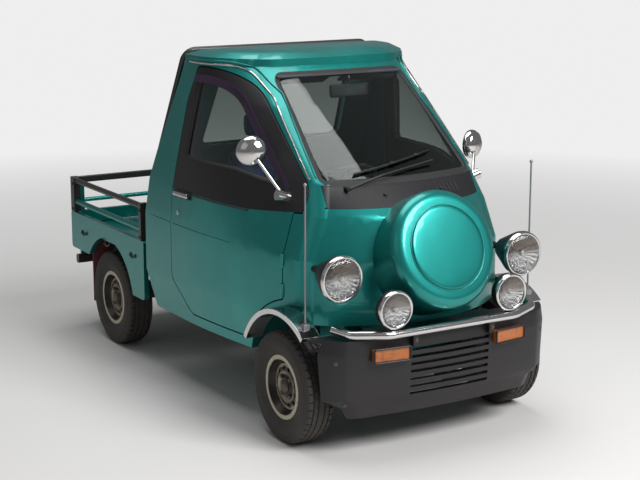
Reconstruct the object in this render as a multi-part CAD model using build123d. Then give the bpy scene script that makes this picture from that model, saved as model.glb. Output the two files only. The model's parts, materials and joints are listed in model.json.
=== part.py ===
from build123d import *
import os
from math import cos, pi, radians, sin, tan

os.makedirs("parts", exist_ok=True)

# Frame: front faces -Y, the vehicle's left is +X, up is +Z.
# The origin is on the ground at the middle of the overall box. Millimetres.

# Overall sizes
half_width = 647.0
roof_top = 1650.0

# Wheels and axles
wheelbase = 1840.0
front_axle_y = -960.0
rear_axle_y = front_axle_y + wheelbase
tyre_r = 250.0
tyre_width = 140.0
wheel_x = 560.0
hub_z = tyre_r
rim_r = 143.0
bead_r = 127.0
seat_gap = 0.3

# Panels
wall = 50.0
roof_skin = 26.0
panel_gap = 0.3
door_gap = 6.0
glass_thick = 5.0
glass_inset = 10.0
sill_bottom = 338.0
sill_top = 393.0
belt_z = 978.0
rail_z = 1568.0
eaves_z = 1582.0

# Door edges in side view
door_front_y = -862.0
sail_front_y = -905.0
door_rear_y = 72.0

# Wheel arches
arch_lip_r = 325.0
arch_lip = 25.0
arch_r = arch_lip_r + arch_lip
rear_arch_r = 325.0
liner_gap = 6.0
liner = 6.0
liner_x = 345.0

# Ladder frame
rail_x0 = 275.0
rail_x1 = 325.0
rail_depth = 76.0
rail_top = sill_bottom
bed_rail_top = 478.0

# Bed
bed_front_y = 420.0
bed_rear_y = 1389.0
bed_floor_top = 570.0
bed_floor = 25.0
bed_side_x = 640.0
bed_side_wall = 26.0
bed_side_top = 643.0
mid_rail_z = 700.0
top_rail_z = 818.0
rail_r = 15.0
gate_thick = 26.0

# Steering and suspension
strut_x = 455.0
strut_r = 24.0
steer_lock = 32.0
hub_r = 34.0
spindle_r = 16.0


def loop(points):
    """Closed face in a plane from (a, b) corners; a third value rounds the corner."""
    count = len(points)
    runs = []
    for i, p in enumerate(points):
        here = Vector(p[0], p[1])
        if len(p) < 3:
            runs.append((here, here, None))
            continue
        back = (Vector(*points[i - 1][:2]) - here).normalized()
        ahead = (Vector(*points[(i + 1) % count][:2]) - here).normalized()
        half = radians(back.get_angle(ahead)) / 2
        centre = here + (back + ahead).normalized() * (p[2] / sin(half))
        middle = centre + (here - centre).normalized() * p[2]
        run = p[2] / tan(half)
        runs.append((here + back * run, here + ahead * run, middle))
    edges = []
    for i, (start, end, middle) in enumerate(runs):
        if middle is not None:
            edges.append(ThreePointArc(start, middle, end))
        following = runs[(i + 1) % count][0]
        if (following - end).length > 1e-6:
            edges.append(Line(end, following))
    return make_face(edges)


def prism_x(points, x0, x1):
    """Outline in (y, z) run from x0 to x1."""
    plane = Plane(origin=(x0, 0, 0), x_dir=(0, 1, 0), z_dir=(1, 0, 0))
    return extrude(plane * loop(points), amount=x1 - x0)


def prism_y(points, y0, y1):
    """Outline in (x, z) run from y0 to y1."""
    plane = Plane(origin=(0, y1, 0), x_dir=(1, 0, 0), z_dir=(0, -1, 0))
    return extrude(plane * loop(points), amount=y1 - y0)


def prism_z(points, z0, z1):
    """Outline in (x, y) run from z0 to z1."""
    return extrude(Pos(0, 0, z0) * loop(points), amount=z1 - z0)


def block(x0, x1, y0, y1, z0, z1):
    return Pos((x0 + x1) / 2, (y0 + y1) / 2, (z0 + z1) / 2) * Box(x1 - x0, y1 - y0, z1 - z0)


def rod_x(r, x0, x1, y, z):
    return Pos((x0 + x1) / 2, y, z) * Rot(0, 90, 0) * Cylinder(r, x1 - x0)


def rod_y(r, y0, y1, x, z):
    return Pos(x, (y0 + y1) / 2, z) * Rot(90, 0, 0) * Cylinder(r, y1 - y0)


def rod_z(r, z0, z1, x, y):
    return Pos(x, y, (z0 + z1) / 2) * Cylinder(r, z1 - z0)


def pipe(points, r, bends):
    """Round bar along straight runs joined by arcs."""
    path = FilletPolyline(*[Vector(*p) for p in points], radius=bends)
    start = Plane(origin=path @ 0, z_dir=path % 0)
    return sweep(start * Circle(r), path=path)


def turned_x(points, y, z):
    """Revolved body about a line along X; points are (x, radius)."""
    plane = Plane(origin=(0, y, z), x_dir=(1, 0, 0), z_dir=(0, -1, 0))
    return revolve(plane * loop(points), axis=Axis((0, y, z), (1, 0, 0)))


def flip(shape):
    return mirror(shape, about=Plane.YZ)


def both(shape):
    return [shape, flip(shape)]


def solids_of(shape):
    found = []
    for s in (shape if isinstance(shape, (list, tuple)) else [shape]):
        found += list(s.solids())
    return [s for s in found if s.volume > 1.0]


def save(name, *shapes):
    found = []
    for s in shapes:
        found += solids_of(s)
    export_step(found[0] if len(found) == 1 else Compound(children=found), f"parts/{name}.step")


# Cab outline by height: the wall runs straight back from side_y, curves in to a
# rounded corner, then bows across the front.
side_y = -60.0
# columns: z, rear y, drop from half width at the side, at the middle, middle y,
# at the corner, corner y, front y, corner run
cab_rows = [
    (sill_bottom, 290, 19, 57, -560, 132, -975, -1165, 45),
    (520, 372, 0, 40, -560, 115, -990, -1190, 55),
    (805, 372, 1, 41, -560, 115, -990, -1190, 60),
    (990, 340, 15, 61, -560, 185, -985, -1150, 60),
    (1120, 283, 30, 81, -500, 229, -932, -1000, 60),
    (1420, 143, 71, 122, -320, 251, -579, -612, 60),
    (eaves_z, 78, 97, 159, -220, 307, -385, -400, 70),
]


def level(row, inset=0.0, lift=0.0):
    z, rear_y, side_drop, mid_drop, mid_y, corner_drop, corner_y, front_y, run = row
    z = z + lift
    a = Vector(half_width - side_drop - inset, rear_y - inset, z)
    b = Vector(half_width - side_drop - inset, side_y, z)
    m = Vector(half_width - mid_drop - inset, mid_y, z)
    c = Vector(half_width - corner_drop - inset * 0.85, corner_y + inset * 0.6, z)
    d = Vector(0, front_y + inset, z)
    along_side = (m - c).normalized()
    along_front = (d - c).normalized()
    half = radians(along_side.get_angle(along_front)) / 2
    e = c + along_side * run
    g = c + along_front * run
    bend = run * tan(half)
    k = c + (along_side + along_front).normalized() * (bend / sin(half) - bend)
    other = [Vector(-v.X, v.Y, v.Z) for v in (a, b, m, e, k, g)]
    return Wire([
        Line(a, b).edge(), ThreePointArc(b, m, e).edge(), ThreePointArc(e, k, g).edge(),
        ThreePointArc(g, d, other[5]).edge(), ThreePointArc(other[5], other[4], other[3]).edge(),
        ThreePointArc(other[3], other[2], other[1]).edge(), Line(other[1], other[0]).edge(),
        Line(other[0], a).edge(),
    ])


def cab_solid(inset=0.0):
    return Solid.make_loft([level(r, inset) for r in cab_rows], ruled=True)


outer = cab_solid()
shell = outer - cab_solid(wall)
trim_skin = outer - cab_solid(wall * 0.7)

arch_y = front_axle_y
fender_band = 26.0
arch_cut = rod_x(arch_r + seat_gap, -700, 700, arch_y, hub_z)
door_arch = rod_x(arch_r + fender_band + door_gap, 0, 700, arch_y, hub_z)
band_arch = rod_x(arch_r + fender_band, 0, 720, arch_y, hub_z)

# Door outline in side view: the steel panel up to the belt and the frame above it
belt_front_z = 1003.0
belt_line = [(door_rear_y, belt_z), (-600, belt_z), (sail_front_y, belt_front_z)]
door_foot = [(door_front_y, 460), (door_front_y + 67, sill_top), (-120, sill_top, 60), (door_rear_y, 540, 80)]
frame_top = [
    (2, 1400, 150), (-64, rail_z, 15), (-341, rail_z, 650), (sail_front_y, 1095, 110),
]
sail_foot = [(sail_front_y, belt_front_z), (door_front_y, belt_front_z - 3.5)]
door_low = door_foot + [(door_rear_y, belt_z), (-600, belt_z), (door_front_y, belt_front_z - 3.5)]
door_high = belt_line[:2] + [sail_foot[1], sail_foot[0]] + frame_top[::-1]
door_high = [(door_rear_y, belt_z + seat_gap), *frame_top, (sail_front_y, belt_front_z + seat_gap)]
door_high = door_high + [(-600, belt_z + seat_gap)]
door_whole = door_foot + [(door_rear_y, belt_z)] + frame_top + sail_foot


def grown(points, by):
    """Outline moved outward by a gap."""
    return offset(loop(points), amount=by, kind=Kind.INTERSECTION)


def door_space():
    plane = Plane(origin=(300, 0, 0), x_dir=(0, 1, 0), z_dir=(1, 0, 0))
    return extrude(plane * grown(door_whole, door_gap), amount=400)


door_hole = door_space() - band_arch
door_panel = (shell & prism_x(door_low, 300, 700)) - door_arch
door_panel = max(door_panel.solids(), key=lambda s: s.volume)

# Window outline in the door frame
window = [(-34, 1138, 25), (-96, 1520, 20), (-300, 1520, 450), (-790, 1094, 30), (-452, 1138, 300)]
door_frame = (trim_skin & prism_x(door_high, 300, 700)) - prism_x(window, 300, 700)
glass_skin = cab_solid(glass_inset) - cab_solid(glass_inset + glass_thick)
glass_plane = Plane(origin=(300, 0, 0), x_dir=(0, 1, 0), z_dir=(1, 0, 0))
door_glass = glass_skin & extrude(glass_plane * offset(loop(window), amount=-0.5), amount=400)

# Windscreen opening in front view
screen_low = 1118.0
screen = [(-392, screen_low, 30), (392, screen_low, 30), (342, 1552, 45), (-342, 1552, 45)]
screen_space = prism_y(screen, -1400, 0)
screen_plane = Plane(origin=(0, -150, 0), x_dir=(1, 0, 0), z_dir=(0, -1, 0))
screen_glass = glass_skin & extrude(screen_plane * offset(loop(screen), amount=-0.5), amount=1250)

# Rear wall and its window
# columns: z, distance in from half width
back_edge = [(330, 87), (520, 62), (805, 62), (990, 77), (eaves_z, 147)]
back_right = [(half_width - drop, z) for z, drop in back_edge]
back_zone = prism_y(back_right + [(-x, z) for x, z in back_right[::-1]], -20, 420)
back_window = [(-400, 1140, 40), (400, 1140, 40), (370, 1470, 40), (-370, 1470, 40)]
cab_back = (shell & back_zone) - prism_y(back_window, -20, 420) - block(-700, 700, -20, 420, eaves_z - panel_gap, 1700)
back_glass = glass_skin & prism_y([(-399.2, 1140.5, 39.5), (399.2, 1140.5, 39.5), (369.3, 1469.5, 39.5), (-369.3, 1469.5, 39.5)], -20, 420)

# Sill, rear quarter and rear pillar of one side
# columns: y, z of the line from which the rear quarter takes over
quarter_rows = [(door_rear_y - 50, 300), (door_rear_y - 50, 990), (-152, rail_z + 40)]
quarter_line = quarter_rows + [(300, 1700), (420, 1200), (420, 300)]
sill_zone = [(-640, 300), (-640, sill_top + 20 - panel_gap), (100, sill_top + 20 - panel_gap), (100, 300)]
side_keep = prism_x(quarter_line, 300, 700) + prism_x(sill_zone, 300, 700)
cab_side = (shell & side_keep) - door_hole - back_zone - arch_cut
cab_side = cab_side - block(0, 720, -2000, 420, eaves_z - panel_gap, 1700)
cab_side = max(cab_side.solids(), key=lambda s: s.volume)

# Fender between the front corner and the door
fender_top = 1030.0
corner_cut = -977.0
band_end = -610.0
fender = shell & block(300, 700, corner_cut + panel_gap, band_end, sill_top + 20, fender_top - panel_gap)
fender_in = 402.0
fender = fender - arch_cut - door_hole - prism_y([(-fender_in, 1010), (fender_in, 1010), (398.2, screen_low), (-398.2, screen_low)], -1400, -800)
fender = max(fender.solids(), key=lambda s: s.volume)

# Door hinges at the front shut line: a fixed pin between two lugs, and the door's barrel
hinge_pin_r = 5.0
hinge_r = 9.0
hinge_fit = 0.05
door_hinge_x = half_width - 90.5
door_hinge_y = door_front_y - door_gap / 2
hinge_length = 60.0
hinge_lug = 14.0
for z0 in (628.0, 762.0):
    z1 = z0 + hinge_length
    turn_space = rod_z(hinge_r + 2, z0 + hinge_lug, z1 - hinge_lug, door_hinge_x, door_hinge_y)
    fender = fender - turn_space + rod_z(hinge_pin_r, z0, z1, door_hinge_x, door_hinge_y)
    for low, high in ((z0, z0 + hinge_lug), (z1 - hinge_lug, z1)):
        door_panel = door_panel - rod_z(hinge_r + 2, low - 1, high + 1, door_hinge_x, door_hinge_y)
        fender = fender + rod_z(hinge_r, low, high, door_hinge_x, door_hinge_y)
    barrel = rod_z(hinge_r, z0 + hinge_lug + 1, z1 - hinge_lug - 1, door_hinge_x, door_hinge_y)
    door_panel = door_panel + barrel
    door_panel = door_panel - rod_z(hinge_pin_r + hinge_fit, z0, z1, door_hinge_x, door_hinge_y)

# Pillars and header round the windscreen, with the rail over the doors
hoop_zone = block(-700, 700, -1300, 20, fender_top, eaves_z - panel_gap)
rear_line = prism_x([(y - panel_gap, z) for y, z in quarter_rows] + [(300, 1700), (-1400, 1700), (-1400, 300)], -700, 700)
pillar_shell = (outer - cab_solid(wall * 0.7)) & hoop_zone & rear_line
cowl_space = prism_y([(-fender_in, 1010), (fender_in, 1010), (398.2, screen_low), (-398.2, screen_low)], -1400, -800)
pillars = pillar_shell - screen_space - cowl_space - door_hole - flip(door_hole)
pillars = max(pillars.solids(), key=lambda s: s.volume)

# Black panel under the windscreen
cowl_skin = outer - cab_solid(wall * 0.6)
cowl = cowl_skin & prism_y([(-401.5, 1024), (401.5, 1024), (397.8, screen_low - panel_gap), (-397.8, screen_low - panel_gap)], -1400, -800)

# Roof
roof_drop = 34.0
brow_z = roof_top - roof_drop
roof_band = extrude(make_face(level(cab_rows[-1])), amount=brow_z - eaves_z, dir=(0, 0, 1))
# columns: distance in from the edge, height below the roof's top
crown_rows = [(0, roof_drop), (60, 10), (150, 0)]
crown = [level(cab_rows[-1], inset, roof_top - down - eaves_z) for inset, down in crown_rows]
head_room = brow_z - roof_skin - eaves_z
hollow = extrude(make_face(level(cab_rows[-1], 60.0, -30.0)), amount=30.0 + head_room, dir=(0, 0, 1))
roof = roof_band + Solid.make_loft(crown, ruled=True) - hollow

# Nose panel with the spare-wheel bulge
nose_face = Plane(origin=(0, -1322, 874), x_dir=(1, 0, 0), z_dir=(0, -cos(radians(21)), sin(radians(21))))
bulge_r = 262.0
bulge_depth = 320.0
disc_r = 190.0


def bulge(shrink=0.0):
    """Round housing that leans back with the nose."""
    body = Cylinder(bulge_r - shrink, bulge_depth, align=(Align.CENTER, Align.CENTER, Align.MAX))
    rim = body.edges().sort_by(Axis.Z)[-1]
    body = fillet(rim, 52.0)
    return nose_face * (Pos(0, 0, -shrink) * body)


nose_low = 522.0
nose_cut = prism_y([(-700, nose_low), (700, nose_low), (700, 1023.7), (-700, 1023.7)], -1500, corner_cut - panel_gap)
nose_shell = (outer - cab_solid(wall * 0.5)) & nose_cut
nose_space = cab_solid(wall * 0.5)
front_panel = nose_shell - bulge(0.0) + ((bulge(0.0) - bulge(24.0)) & nose_cut - nose_space)
front_panel = max(front_panel.solids(), key=lambda s: s.volume)
spare_cover = nose_face * (Pos(0, 0, seat_gap) * Cylinder(disc_r, 10, align=(Align.CENTER, Align.CENTER, Align.MIN)))

# Floor pan with toe board, wheel houses and seat box
cabin = cab_solid(wall + panel_gap)
floor_t = 14.0
pan = cabin & block(-700, 700, -1300, 400, sill_bottom, sill_bottom + floor_t)
house_r = arch_r + liner_gap + liner
house = rod_x(house_r, liner_x - liner, 700, arch_y, hub_z)
house_in = rod_x(house_r - liner, liner_x, 700, arch_y, hub_z)
riser = (300.0, -330.0, 232.0, 600.0)
riser_out = block(-riser[0], riser[0], riser[1], riser[2], sill_bottom, riser[3])
riser_in = block(-riser[0] + 6, riser[0] - 6, riser[1] + 6, riser[2] - 6, sill_bottom - 5, riser[3] - 6)
cab_floor = pan + (cabin & house & block(0, 700, -1400, 0, sill_bottom, 900))
cab_floor = cab_floor + (cabin & flip(house) & block(-700, 0, -1400, 0, sill_bottom, 900))
cab_floor = cab_floor + riser_out - riser_in - house_in - flip(house_in)
toe = cabin & block(-liner_x, liner_x, -1110, -1090, sill_bottom, 800)
cab_floor = cab_floor + toe
cab_floor = max(cab_floor.solids(), key=lambda s: s.volume)

# Ladder frame
rail_side = [
    (-1150, rail_top - rail_depth), (-1150, rail_top), (300, rail_top), (430, bed_rail_top), (1328, bed_rail_top),
    (1328, bed_rail_top - rail_depth), (455, bed_rail_top - rail_depth), (325, rail_top - rail_depth),
]
rail = prism_x(rail_side, rail_x0, rail_x1)
# columns: y, half depth in y, bottom z, top z
cross_rows = [(-1120, 25, 268, 332), (-960, 40, 268, 332), (-560, 22, 268, 332), (470, 25, 408, 472), (1010, 25, 408, 472), (1295, 25, 408, 472)]
ladder = rail + flip(rail)
for y, h, z0, z1 in cross_rows:
    ladder = ladder + block(-rail_x0, rail_x0, y - h, y + h, z0, z1)

# Engine, tank and exhaust
engine_half = 190.0
engine = block(-engine_half, engine_half, -300, 215, 232, 560)
engine_mount = block(engine_half, rail_x0 - seat_gap, -70, -10, 285, 320)
engine = engine + engine_mount + flip(engine_mount)
tank = prism_x([(-500, 225, 25), (-500, 325, 25), (-60, 325, 25), (-60, 225, 25)], 345, 560)
tank = [tank] + [block(rail_x1, 345, y - 15, y + 15, 285, 325) for y in (-420, -140)]
exhaust_x = -215.0
exhaust = pipe([(-engine_half - seat_gap, 40, 290), (exhaust_x, 40, 290), (exhaust_x, 330, 290)], 17, [24])
muffler = rod_y(50, 330, 640, exhaust_x, 290)
tail_path = [(exhaust_x, 640, 290), (exhaust_x, 760, 350), (exhaust_x, 1000, 350), (exhaust_x, 1340, 330)]
exhaust_tail = pipe(tail_path, 17, [90, 90])

# Rear axle with its leaf springs
axle_r = 32.0
rear_axle = rod_x(axle_r, -488, 488, rear_axle_y, hub_z) + Pos(0, rear_axle_y, hub_z) * Sphere(98)
rear_axle = rear_axle + rod_y(30, 231, rear_axle_y - 60, 0, hub_z + 10)
spring_x = 400.0
spring_w = 50.0
spring_t = 22.0
spring_low = hub_z + axle_r + seat_gap
spring_eye_z = 352.0
spring_face = make_face([
    ThreePointArc((480, spring_eye_z), (rear_axle_y, spring_low), (1280, spring_eye_z)),
    Line((1280, spring_eye_z), (1280, spring_eye_z + spring_t)),
    ThreePointArc((1280, spring_eye_z + spring_t), (rear_axle_y, spring_low + spring_t), (480, spring_eye_z + spring_t)),
    Line((480, spring_eye_z + spring_t), (480, spring_eye_z)),
])
spring_plane = Plane(origin=(spring_x - spring_w / 2, 0, 0), x_dir=(0, 1, 0), z_dir=(1, 0, 0))
spring = extrude(spring_plane * spring_face, amount=spring_w)
hangers = [
    block(rail_x1 + seat_gap, spring_x + spring_w / 2, y - 18, y + 18, spring_eye_z, 440) for y in (480, 1280)
]

# Front suspension: arms, struts and knuckles
strut_split = 436.0
arm = prism_z([(rail_x0 - 40, arch_y - 60), (strut_x - 10, arch_y - 14), (strut_x + 14, arch_y - 14, 8), (strut_x + 14, arch_y + 14, 8), (strut_x - 10, arch_y + 14), (rail_x0 - 40, arch_y + 60)], 150, 170)
arm_post = block(rail_x0 - 40, rail_x0 - 10, arch_y - 38, arch_y + 38, 170, 268)
strut_top = rod_z(30, strut_split, 700, strut_x, arch_y) & rod_x(house_r - liner - seat_gap, 0, 700, arch_y, hub_z)
strut_top = strut_top & cabin
knuckle = rod_z(strut_r, 170 + seat_gap, strut_split - seat_gap, strut_x, arch_y)
knuckle = knuckle + rod_x(hub_r, strut_x, 486, arch_y, hub_z) + rod_x(spindle_r, 480, wheel_x + 30, arch_y, hub_z)
knuckle = knuckle + block(strut_x - 12, strut_x + 12, arch_y, arch_y + 110, 205, 225)
rear_spindle = rod_x(spindle_r, 487, wheel_x + 30, rear_axle_y, hub_z)
rear_axle = rear_axle + rear_spindle + flip(rear_spindle)

# Wheels, made for the left side and mirrored
half_w = tyre_width / 2
tyre_side = [(52.7, bead_r + seat_gap), (52.7, rim_r + seat_gap), (half_w, 195), (58, tyre_r)]
tyre_profile = [(-p[0], p[1]) for p in tyre_side] + tyre_side[::-1]


bore_r = spindle_r + seat_gap
# columns: side distance from the wheel's middle, radius
rim_profile = [
    (-53, rim_r), (-57, rim_r), (-57, 122), (-24, 106), (18, 104), (30, 66), (18, 52), (18, 32), (-60, 32),
    (-60, bore_r), (40, bore_r), (40, 40), (26, 50), (38, 66), (26, 108), (57, 122), (57, rim_r), (53, rim_r),
    (53, bead_r), (-53, bead_r),
]
vents = 12


def wheel_parts(y, side):
    tyre = Pos(wheel_x, 0, 0) * turned_x(tyre_profile, y, hub_z)
    rim = turned_x(rim_profile, y, hub_z)
    for i in range(vents):
        a = 2 * pi * (i + 0.5) / vents
        slot = rod_x(11, 0, 60, y + 86 * cos(a), hub_z + 86 * sin(a))
        rim = rim - slot
    rim = Pos(wheel_x, 0, 0) * rim
    if side < 0:
        return flip(tyre), flip(rim)
    return tyre, rim


# Black lower skirt with its grille
skirt_low = 172.0
skirt_top = nose_low - seat_gap
skirt_wall = 26.0
# columns: z, end x, corner x, corner y, shoulder x, shoulder y, front y
skirt_rows = [
    (skirt_low, half_width - 87, half_width - 102, -1190, 430, -1296, -1322),
    (222, half_width - 75, half_width - 89, -1196, 450, -1302, -1330),
    (262, half_width - 11, half_width - 37, -1206, 496, -1316, -1356),
    (460, half_width, half_width - 31, -1212, 502, -1320, -1368),
    (skirt_top, half_width - 5, half_width - 37, -1206, 496, -1312, -1360),
]
skirt_end_y = -1080.0


def skirt_level(row, inset=0.0):
    """Half outline: an arc round the corner, then one bowed arc across the front."""
    z, end_x, corner_x, corner_y, x, y, front_y = row
    s = Vector(end_x - inset, skirt_end_y, z)
    m = Vector(corner_x - inset * 0.9, corner_y + inset * 0.45, z)
    e = Vector(x - inset * 0.35, y + inset * 0.95, z)
    d = Vector(0, front_y + inset, z)
    other = [Vector(-v.X, v.Y, v.Z) for v in (s, m, e)]
    return Wire([
        ThreePointArc(s, m, e).edge(), ThreePointArc(e, d, other[2]).edge(),
        ThreePointArc(other[2], other[1], other[0]).edge(), Line(other[0], s).edge(),
    ])


skirt_out = Solid.make_loft([skirt_level(r) for r in skirt_rows], ruled=True)
skirt_in = Solid.make_loft([skirt_level(r, skirt_wall) for r in skirt_rows], ruled=True)
skirt = skirt_out - skirt_in
shelf = skirt_out & block(-700, 700, -1400, -1150, skirt_top - 14, skirt_top)
skirt = skirt + shelf
sweep_r = 312.0
tyre_sweep = rod_z(sweep_r, 100, 512, strut_x, arch_y)
arch_nose = rod_x(arch_r + seat_gap, 330, 700, arch_y, hub_z) & block(0, 720, -1230, -900, 100, 700)
for void in (tyre_sweep, arch_nose):
    skirt = skirt - void - flip(void)
skirt = skirt - outer - bulge(-seat_gap)
slat_pitch = 33.0
slat_count = 7
grille_half = 205.0
for i in range(slat_count):
    z = 262 + slat_pitch * i
    skirt = skirt - block(-grille_half, grille_half, -1400, -1290, z - 7, z + 7)
signal_x = 312.0
signal_z = 455.0
signal_hole = block(signal_x - 82.3, signal_x + 82.3, -1400, -1270, signal_z - 26.3, signal_z + 26.3)
signal_face = Plane(origin=(signal_x, -1353, signal_z), x_dir=(cos(radians(7)), sin(radians(7)), 0), z_dir=(sin(radians(7)), -cos(radians(7)), 0))
signal = signal_face * Box(164, 52, 34)
signal = signal & block(signal_x - 82, signal_x + 82, -1390, -1300, signal_z - 26, signal_z + 26)
skirt = skirt - signal_hole - flip(signal_hole)
skirt = max(skirt.solids(), key=lambda s: s.volume)

# Chrome pipe in front, fog lamps and headlamps
pipe_r = 19.0
pipe_z = skirt_top + 2.5 + pipe_r
pipe_path = [
    (-517, -1222, pipe_z + 14), (-478, -1306, pipe_z + 4), (-330, -1376, pipe_z), (330, -1376, pipe_z),
    (478, -1306, pipe_z + 4), (517, -1222, pipe_z + 14),
]
pipe_bends = [50, 110, 110, 50]
bumper_pipe = pipe(pipe_path, pipe_r, pipe_bends)
pipe_space = pipe(pipe_path, pipe_r + seat_gap, pipe_bends)
for x in (-200, 200):
    skirt = skirt + block(x - 14, x + 14, -1384, -1344, skirt_top - 40, pipe_z)
skirt = skirt - pipe_space
skirt = max(skirt.solids(), key=lambda s: s.volume)
fog_x = 302.0
fog_z = 650.0
fog_r = 80.0
lamp_x = 478.0
lamp_z = 774.0
lamp_r = 97.0
lamp_front = -1240.0


def lamp_shell(x, z, r, front, depth, tail_r):
    body = Pos(x, 0, z) * Rot(0, 0, 0) * turned_y([(front, r), (front + 18, r + 5), (front + 40, r), (front + depth, tail_r), (front + depth, 0), (front + 14, 0), (front + 14, r - 6), (front, r - 6)])
    return body


def turned_y(points):
    """Revolved body about the Y axis; points are (y, radius)."""
    plane = Plane(origin=(0, 0, 0), x_dir=(0, 1, 0), z_dir=(-1, 0, 0))
    return revolve(plane * loop([(a, b) for a, b in points]), axis=Axis((0, 0, 0), (0, 1, 0)))


headlamp = lamp_shell(lamp_x, lamp_z, lamp_r, lamp_front, 150, 46)
headlamp_arm = rod_y(16, lamp_front + 149, -1004, lamp_x, lamp_z)
headlamp = headlamp + headlamp_arm - cab_solid(-seat_gap)
headlamp = max(headlamp.solids(), key=lambda s: s.volume)
head_lens = Pos(lamp_x, 0, lamp_z) * turned_y([(lamp_front + 13.7, 0), (lamp_front + 13.7, lamp_r - 6.3), (lamp_front, lamp_r - 6.3), (lamp_front - 16, 60), (lamp_front - 22, 0)])
fog_front = -1392.0
fog_bowl = 62.0
fog = lamp_shell(fog_x, fog_z, fog_r, fog_front + 8, fog_bowl, 50)
fog_foot = rod_z(13, pipe_z, fog_z - fog_r + 3, fog_x, -1358) - pipe_space
fog = fog + (fog_foot & block(0, 700, -1400, -1300, pipe_z + 10, 700))
fog = max(fog.solids(), key=lambda s: s.volume)
fog_lens = Pos(fog_x, 0, fog_z) * turned_y([(fog_front + 21.7, 0), (fog_front + 21.7, fog_r - 6.3), (fog_front + 8, fog_r - 6.3), (fog_front + 3, 40), (fog_front + 1, 0)])

# Wheel arch trims
trim_x0 = half_width - 95.0
trim_x1 = half_width - 7.0
lip_ring = rod_x(arch_r, trim_x0, trim_x1, arch_y, hub_z)
lip_ring = lip_ring - rod_x(arch_lip_r, trim_x0 - 10, trim_x1 + 10, arch_y, hub_z)
lip = lip_ring & prism_x([(arch_y, hub_z), (arch_y + 420, hub_z + 224), (arch_y + 420, 720), (-1221, 720), (-1221, 579)], 500, 700)

# Mirrors: a chrome bowl on a bent arm from a socket on the door's front corner
mirror_y = -672.0
mirror_x = half_width - 47.0
mirror_turn = 26.0
bowl_rows = [(14, 0), (14, 60), (8, 67), (-4, 68), (-22, 58), (-36, 36), (-42, 12), (-42, 0)]


def door_mirror(head_z):
    head = Pos(mirror_x, mirror_y, head_z) * Rot(0, 0, mirror_turn) * turned_y(bowl_rows)
    stalk_a = Vector(mirror_x - 88, -800, 1062)
    stalk_b = Vector(mirror_x, mirror_y - 20, head_z - 10)
    run = stalk_b - stalk_a
    stalk = Plane(origin=stalk_a, z_dir=run) * Cylinder(7, run.length, align=(Align.CENTER, Align.CENTER, Align.MIN))
    base = Pos(stalk_a.X, stalk_a.Y, stalk_a.Z) * Rot(0, 75, 0) * Cylinder(24, 70)
    body = head + stalk + base - cab_solid(-seat_gap)
    return max(body.solids(), key=lambda s: s.volume)


# Bed
bed_side = prism_x([(bed_front_y, 335, 20), (bed_front_y, bed_side_top, 12), (bed_rear_y, bed_side_top, 12), (bed_rear_y, 440, 20), (1100, 440), (600, 335)], bed_side_x - bed_side_wall, bed_side_x)
bed_side = bed_side - rod_x(rear_arch_r, 500, 700, rear_axle_y, hub_z)
bed_pan = block(-bed_side_x + bed_side_wall + panel_gap, bed_side_x - bed_side_wall - panel_gap, bed_front_y, bed_rear_y, bed_floor_top - bed_floor, bed_floor_top)
# columns: y, half depth in y, half width
bearer_rows = [(470, 20, 600), (rear_axle_y, 20, 440), (1230, 20, 600)]
for y, h, w in bearer_rows:
    bed_pan = bed_pan + block(-w, w, y - h, y + h, bed_rail_top, bed_floor_top - bed_floor)
bed_pan = bed_pan + block(-610, 610, 1332, 1348, 400, bed_floor_top - bed_floor)
bed_pan = bed_pan + block(-bed_side_x + bed_side_wall + panel_gap, bed_side_x - bed_side_wall - panel_gap, bed_front_y, bed_front_y + 16, bed_floor_top, bed_side_top)
rail_rail_x = bed_side_x - 20
mid_rail = rod_y(rail_r, 470, 1340, rail_rail_x, mid_rail_z)
post_f = block(bed_side_x - 40, bed_side_x, bed_front_y + 24, 470, bed_side_top, top_rail_z + 20)
post_r = block(bed_side_x - 40, bed_side_x, 1340, bed_rear_y - 2, bed_side_top, top_rail_z + 20)
top_rail = rod_y(rail_r, 470, 1340, rail_rail_x, top_rail_z)
rack = post_f + top_rail + post_r

# Tailgate, hinged along its lower rear edge
gate_y1 = bed_rear_y
gate_y0 = gate_y1 - gate_thick
gate_x = bed_side_x - 40 - door_gap
gate_low = bed_floor_top + door_gap
gate_panel = block(-gate_x, gate_x, gate_y0, gate_y1, gate_low, bed_side_top)
gate_ends = block(gate_x - 26, gate_x, gate_y0, gate_y1, bed_side_top, top_rail_z - 17)
gate_mid = rod_x(rail_r - 3, -gate_x + 20, gate_x - 20, (gate_y0 + gate_y1) / 2, mid_rail_z)
gate = gate_panel + gate_ends + flip(gate_ends) + gate_mid
gate_bar = block(-gate_x, gate_x, gate_y0, gate_y1, top_rail_z - 17, top_rail_z + 17)
bed_side = bed_side - block(gate_x, bed_side_x - 30, gate_y0 - 5, bed_rear_y + 5, bed_floor_top + 1, bed_side_top)

# Tailgate hinges: a fixed pin between two lugs, and the gate's barrel round it
hinge_y = 1391.0
hinge_z = bed_floor_top
barrel_half = 30.0
lug = 15.0
for x in (-420, 420):
    inner_end = barrel_half + 1.0
    outer_end = inner_end + lug
    bed_pan = bed_pan - rod_x(hinge_r + 2, x - inner_end, x + inner_end, hinge_y, hinge_z)
    for side in (-1, 1):
        ends = sorted((x + side * inner_end, x + side * outer_end))
        bed_pan = bed_pan + rod_x(hinge_r, ends[0], ends[1], hinge_y, hinge_z)
        gate = gate - rod_x(hinge_r + 2, ends[0] - 1, ends[1] + 1, hinge_y, hinge_z)
    bed_pan = bed_pan + rod_x(hinge_pin_r, x - outer_end, x + outer_end, hinge_y, hinge_z)
    gate = gate + rod_x(hinge_r, x - barrel_half, x + barrel_half, hinge_y, hinge_z)
    gate = gate - rod_x(hinge_pin_r + hinge_fit, x - barrel_half, x + barrel_half, hinge_y, hinge_z)

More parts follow.
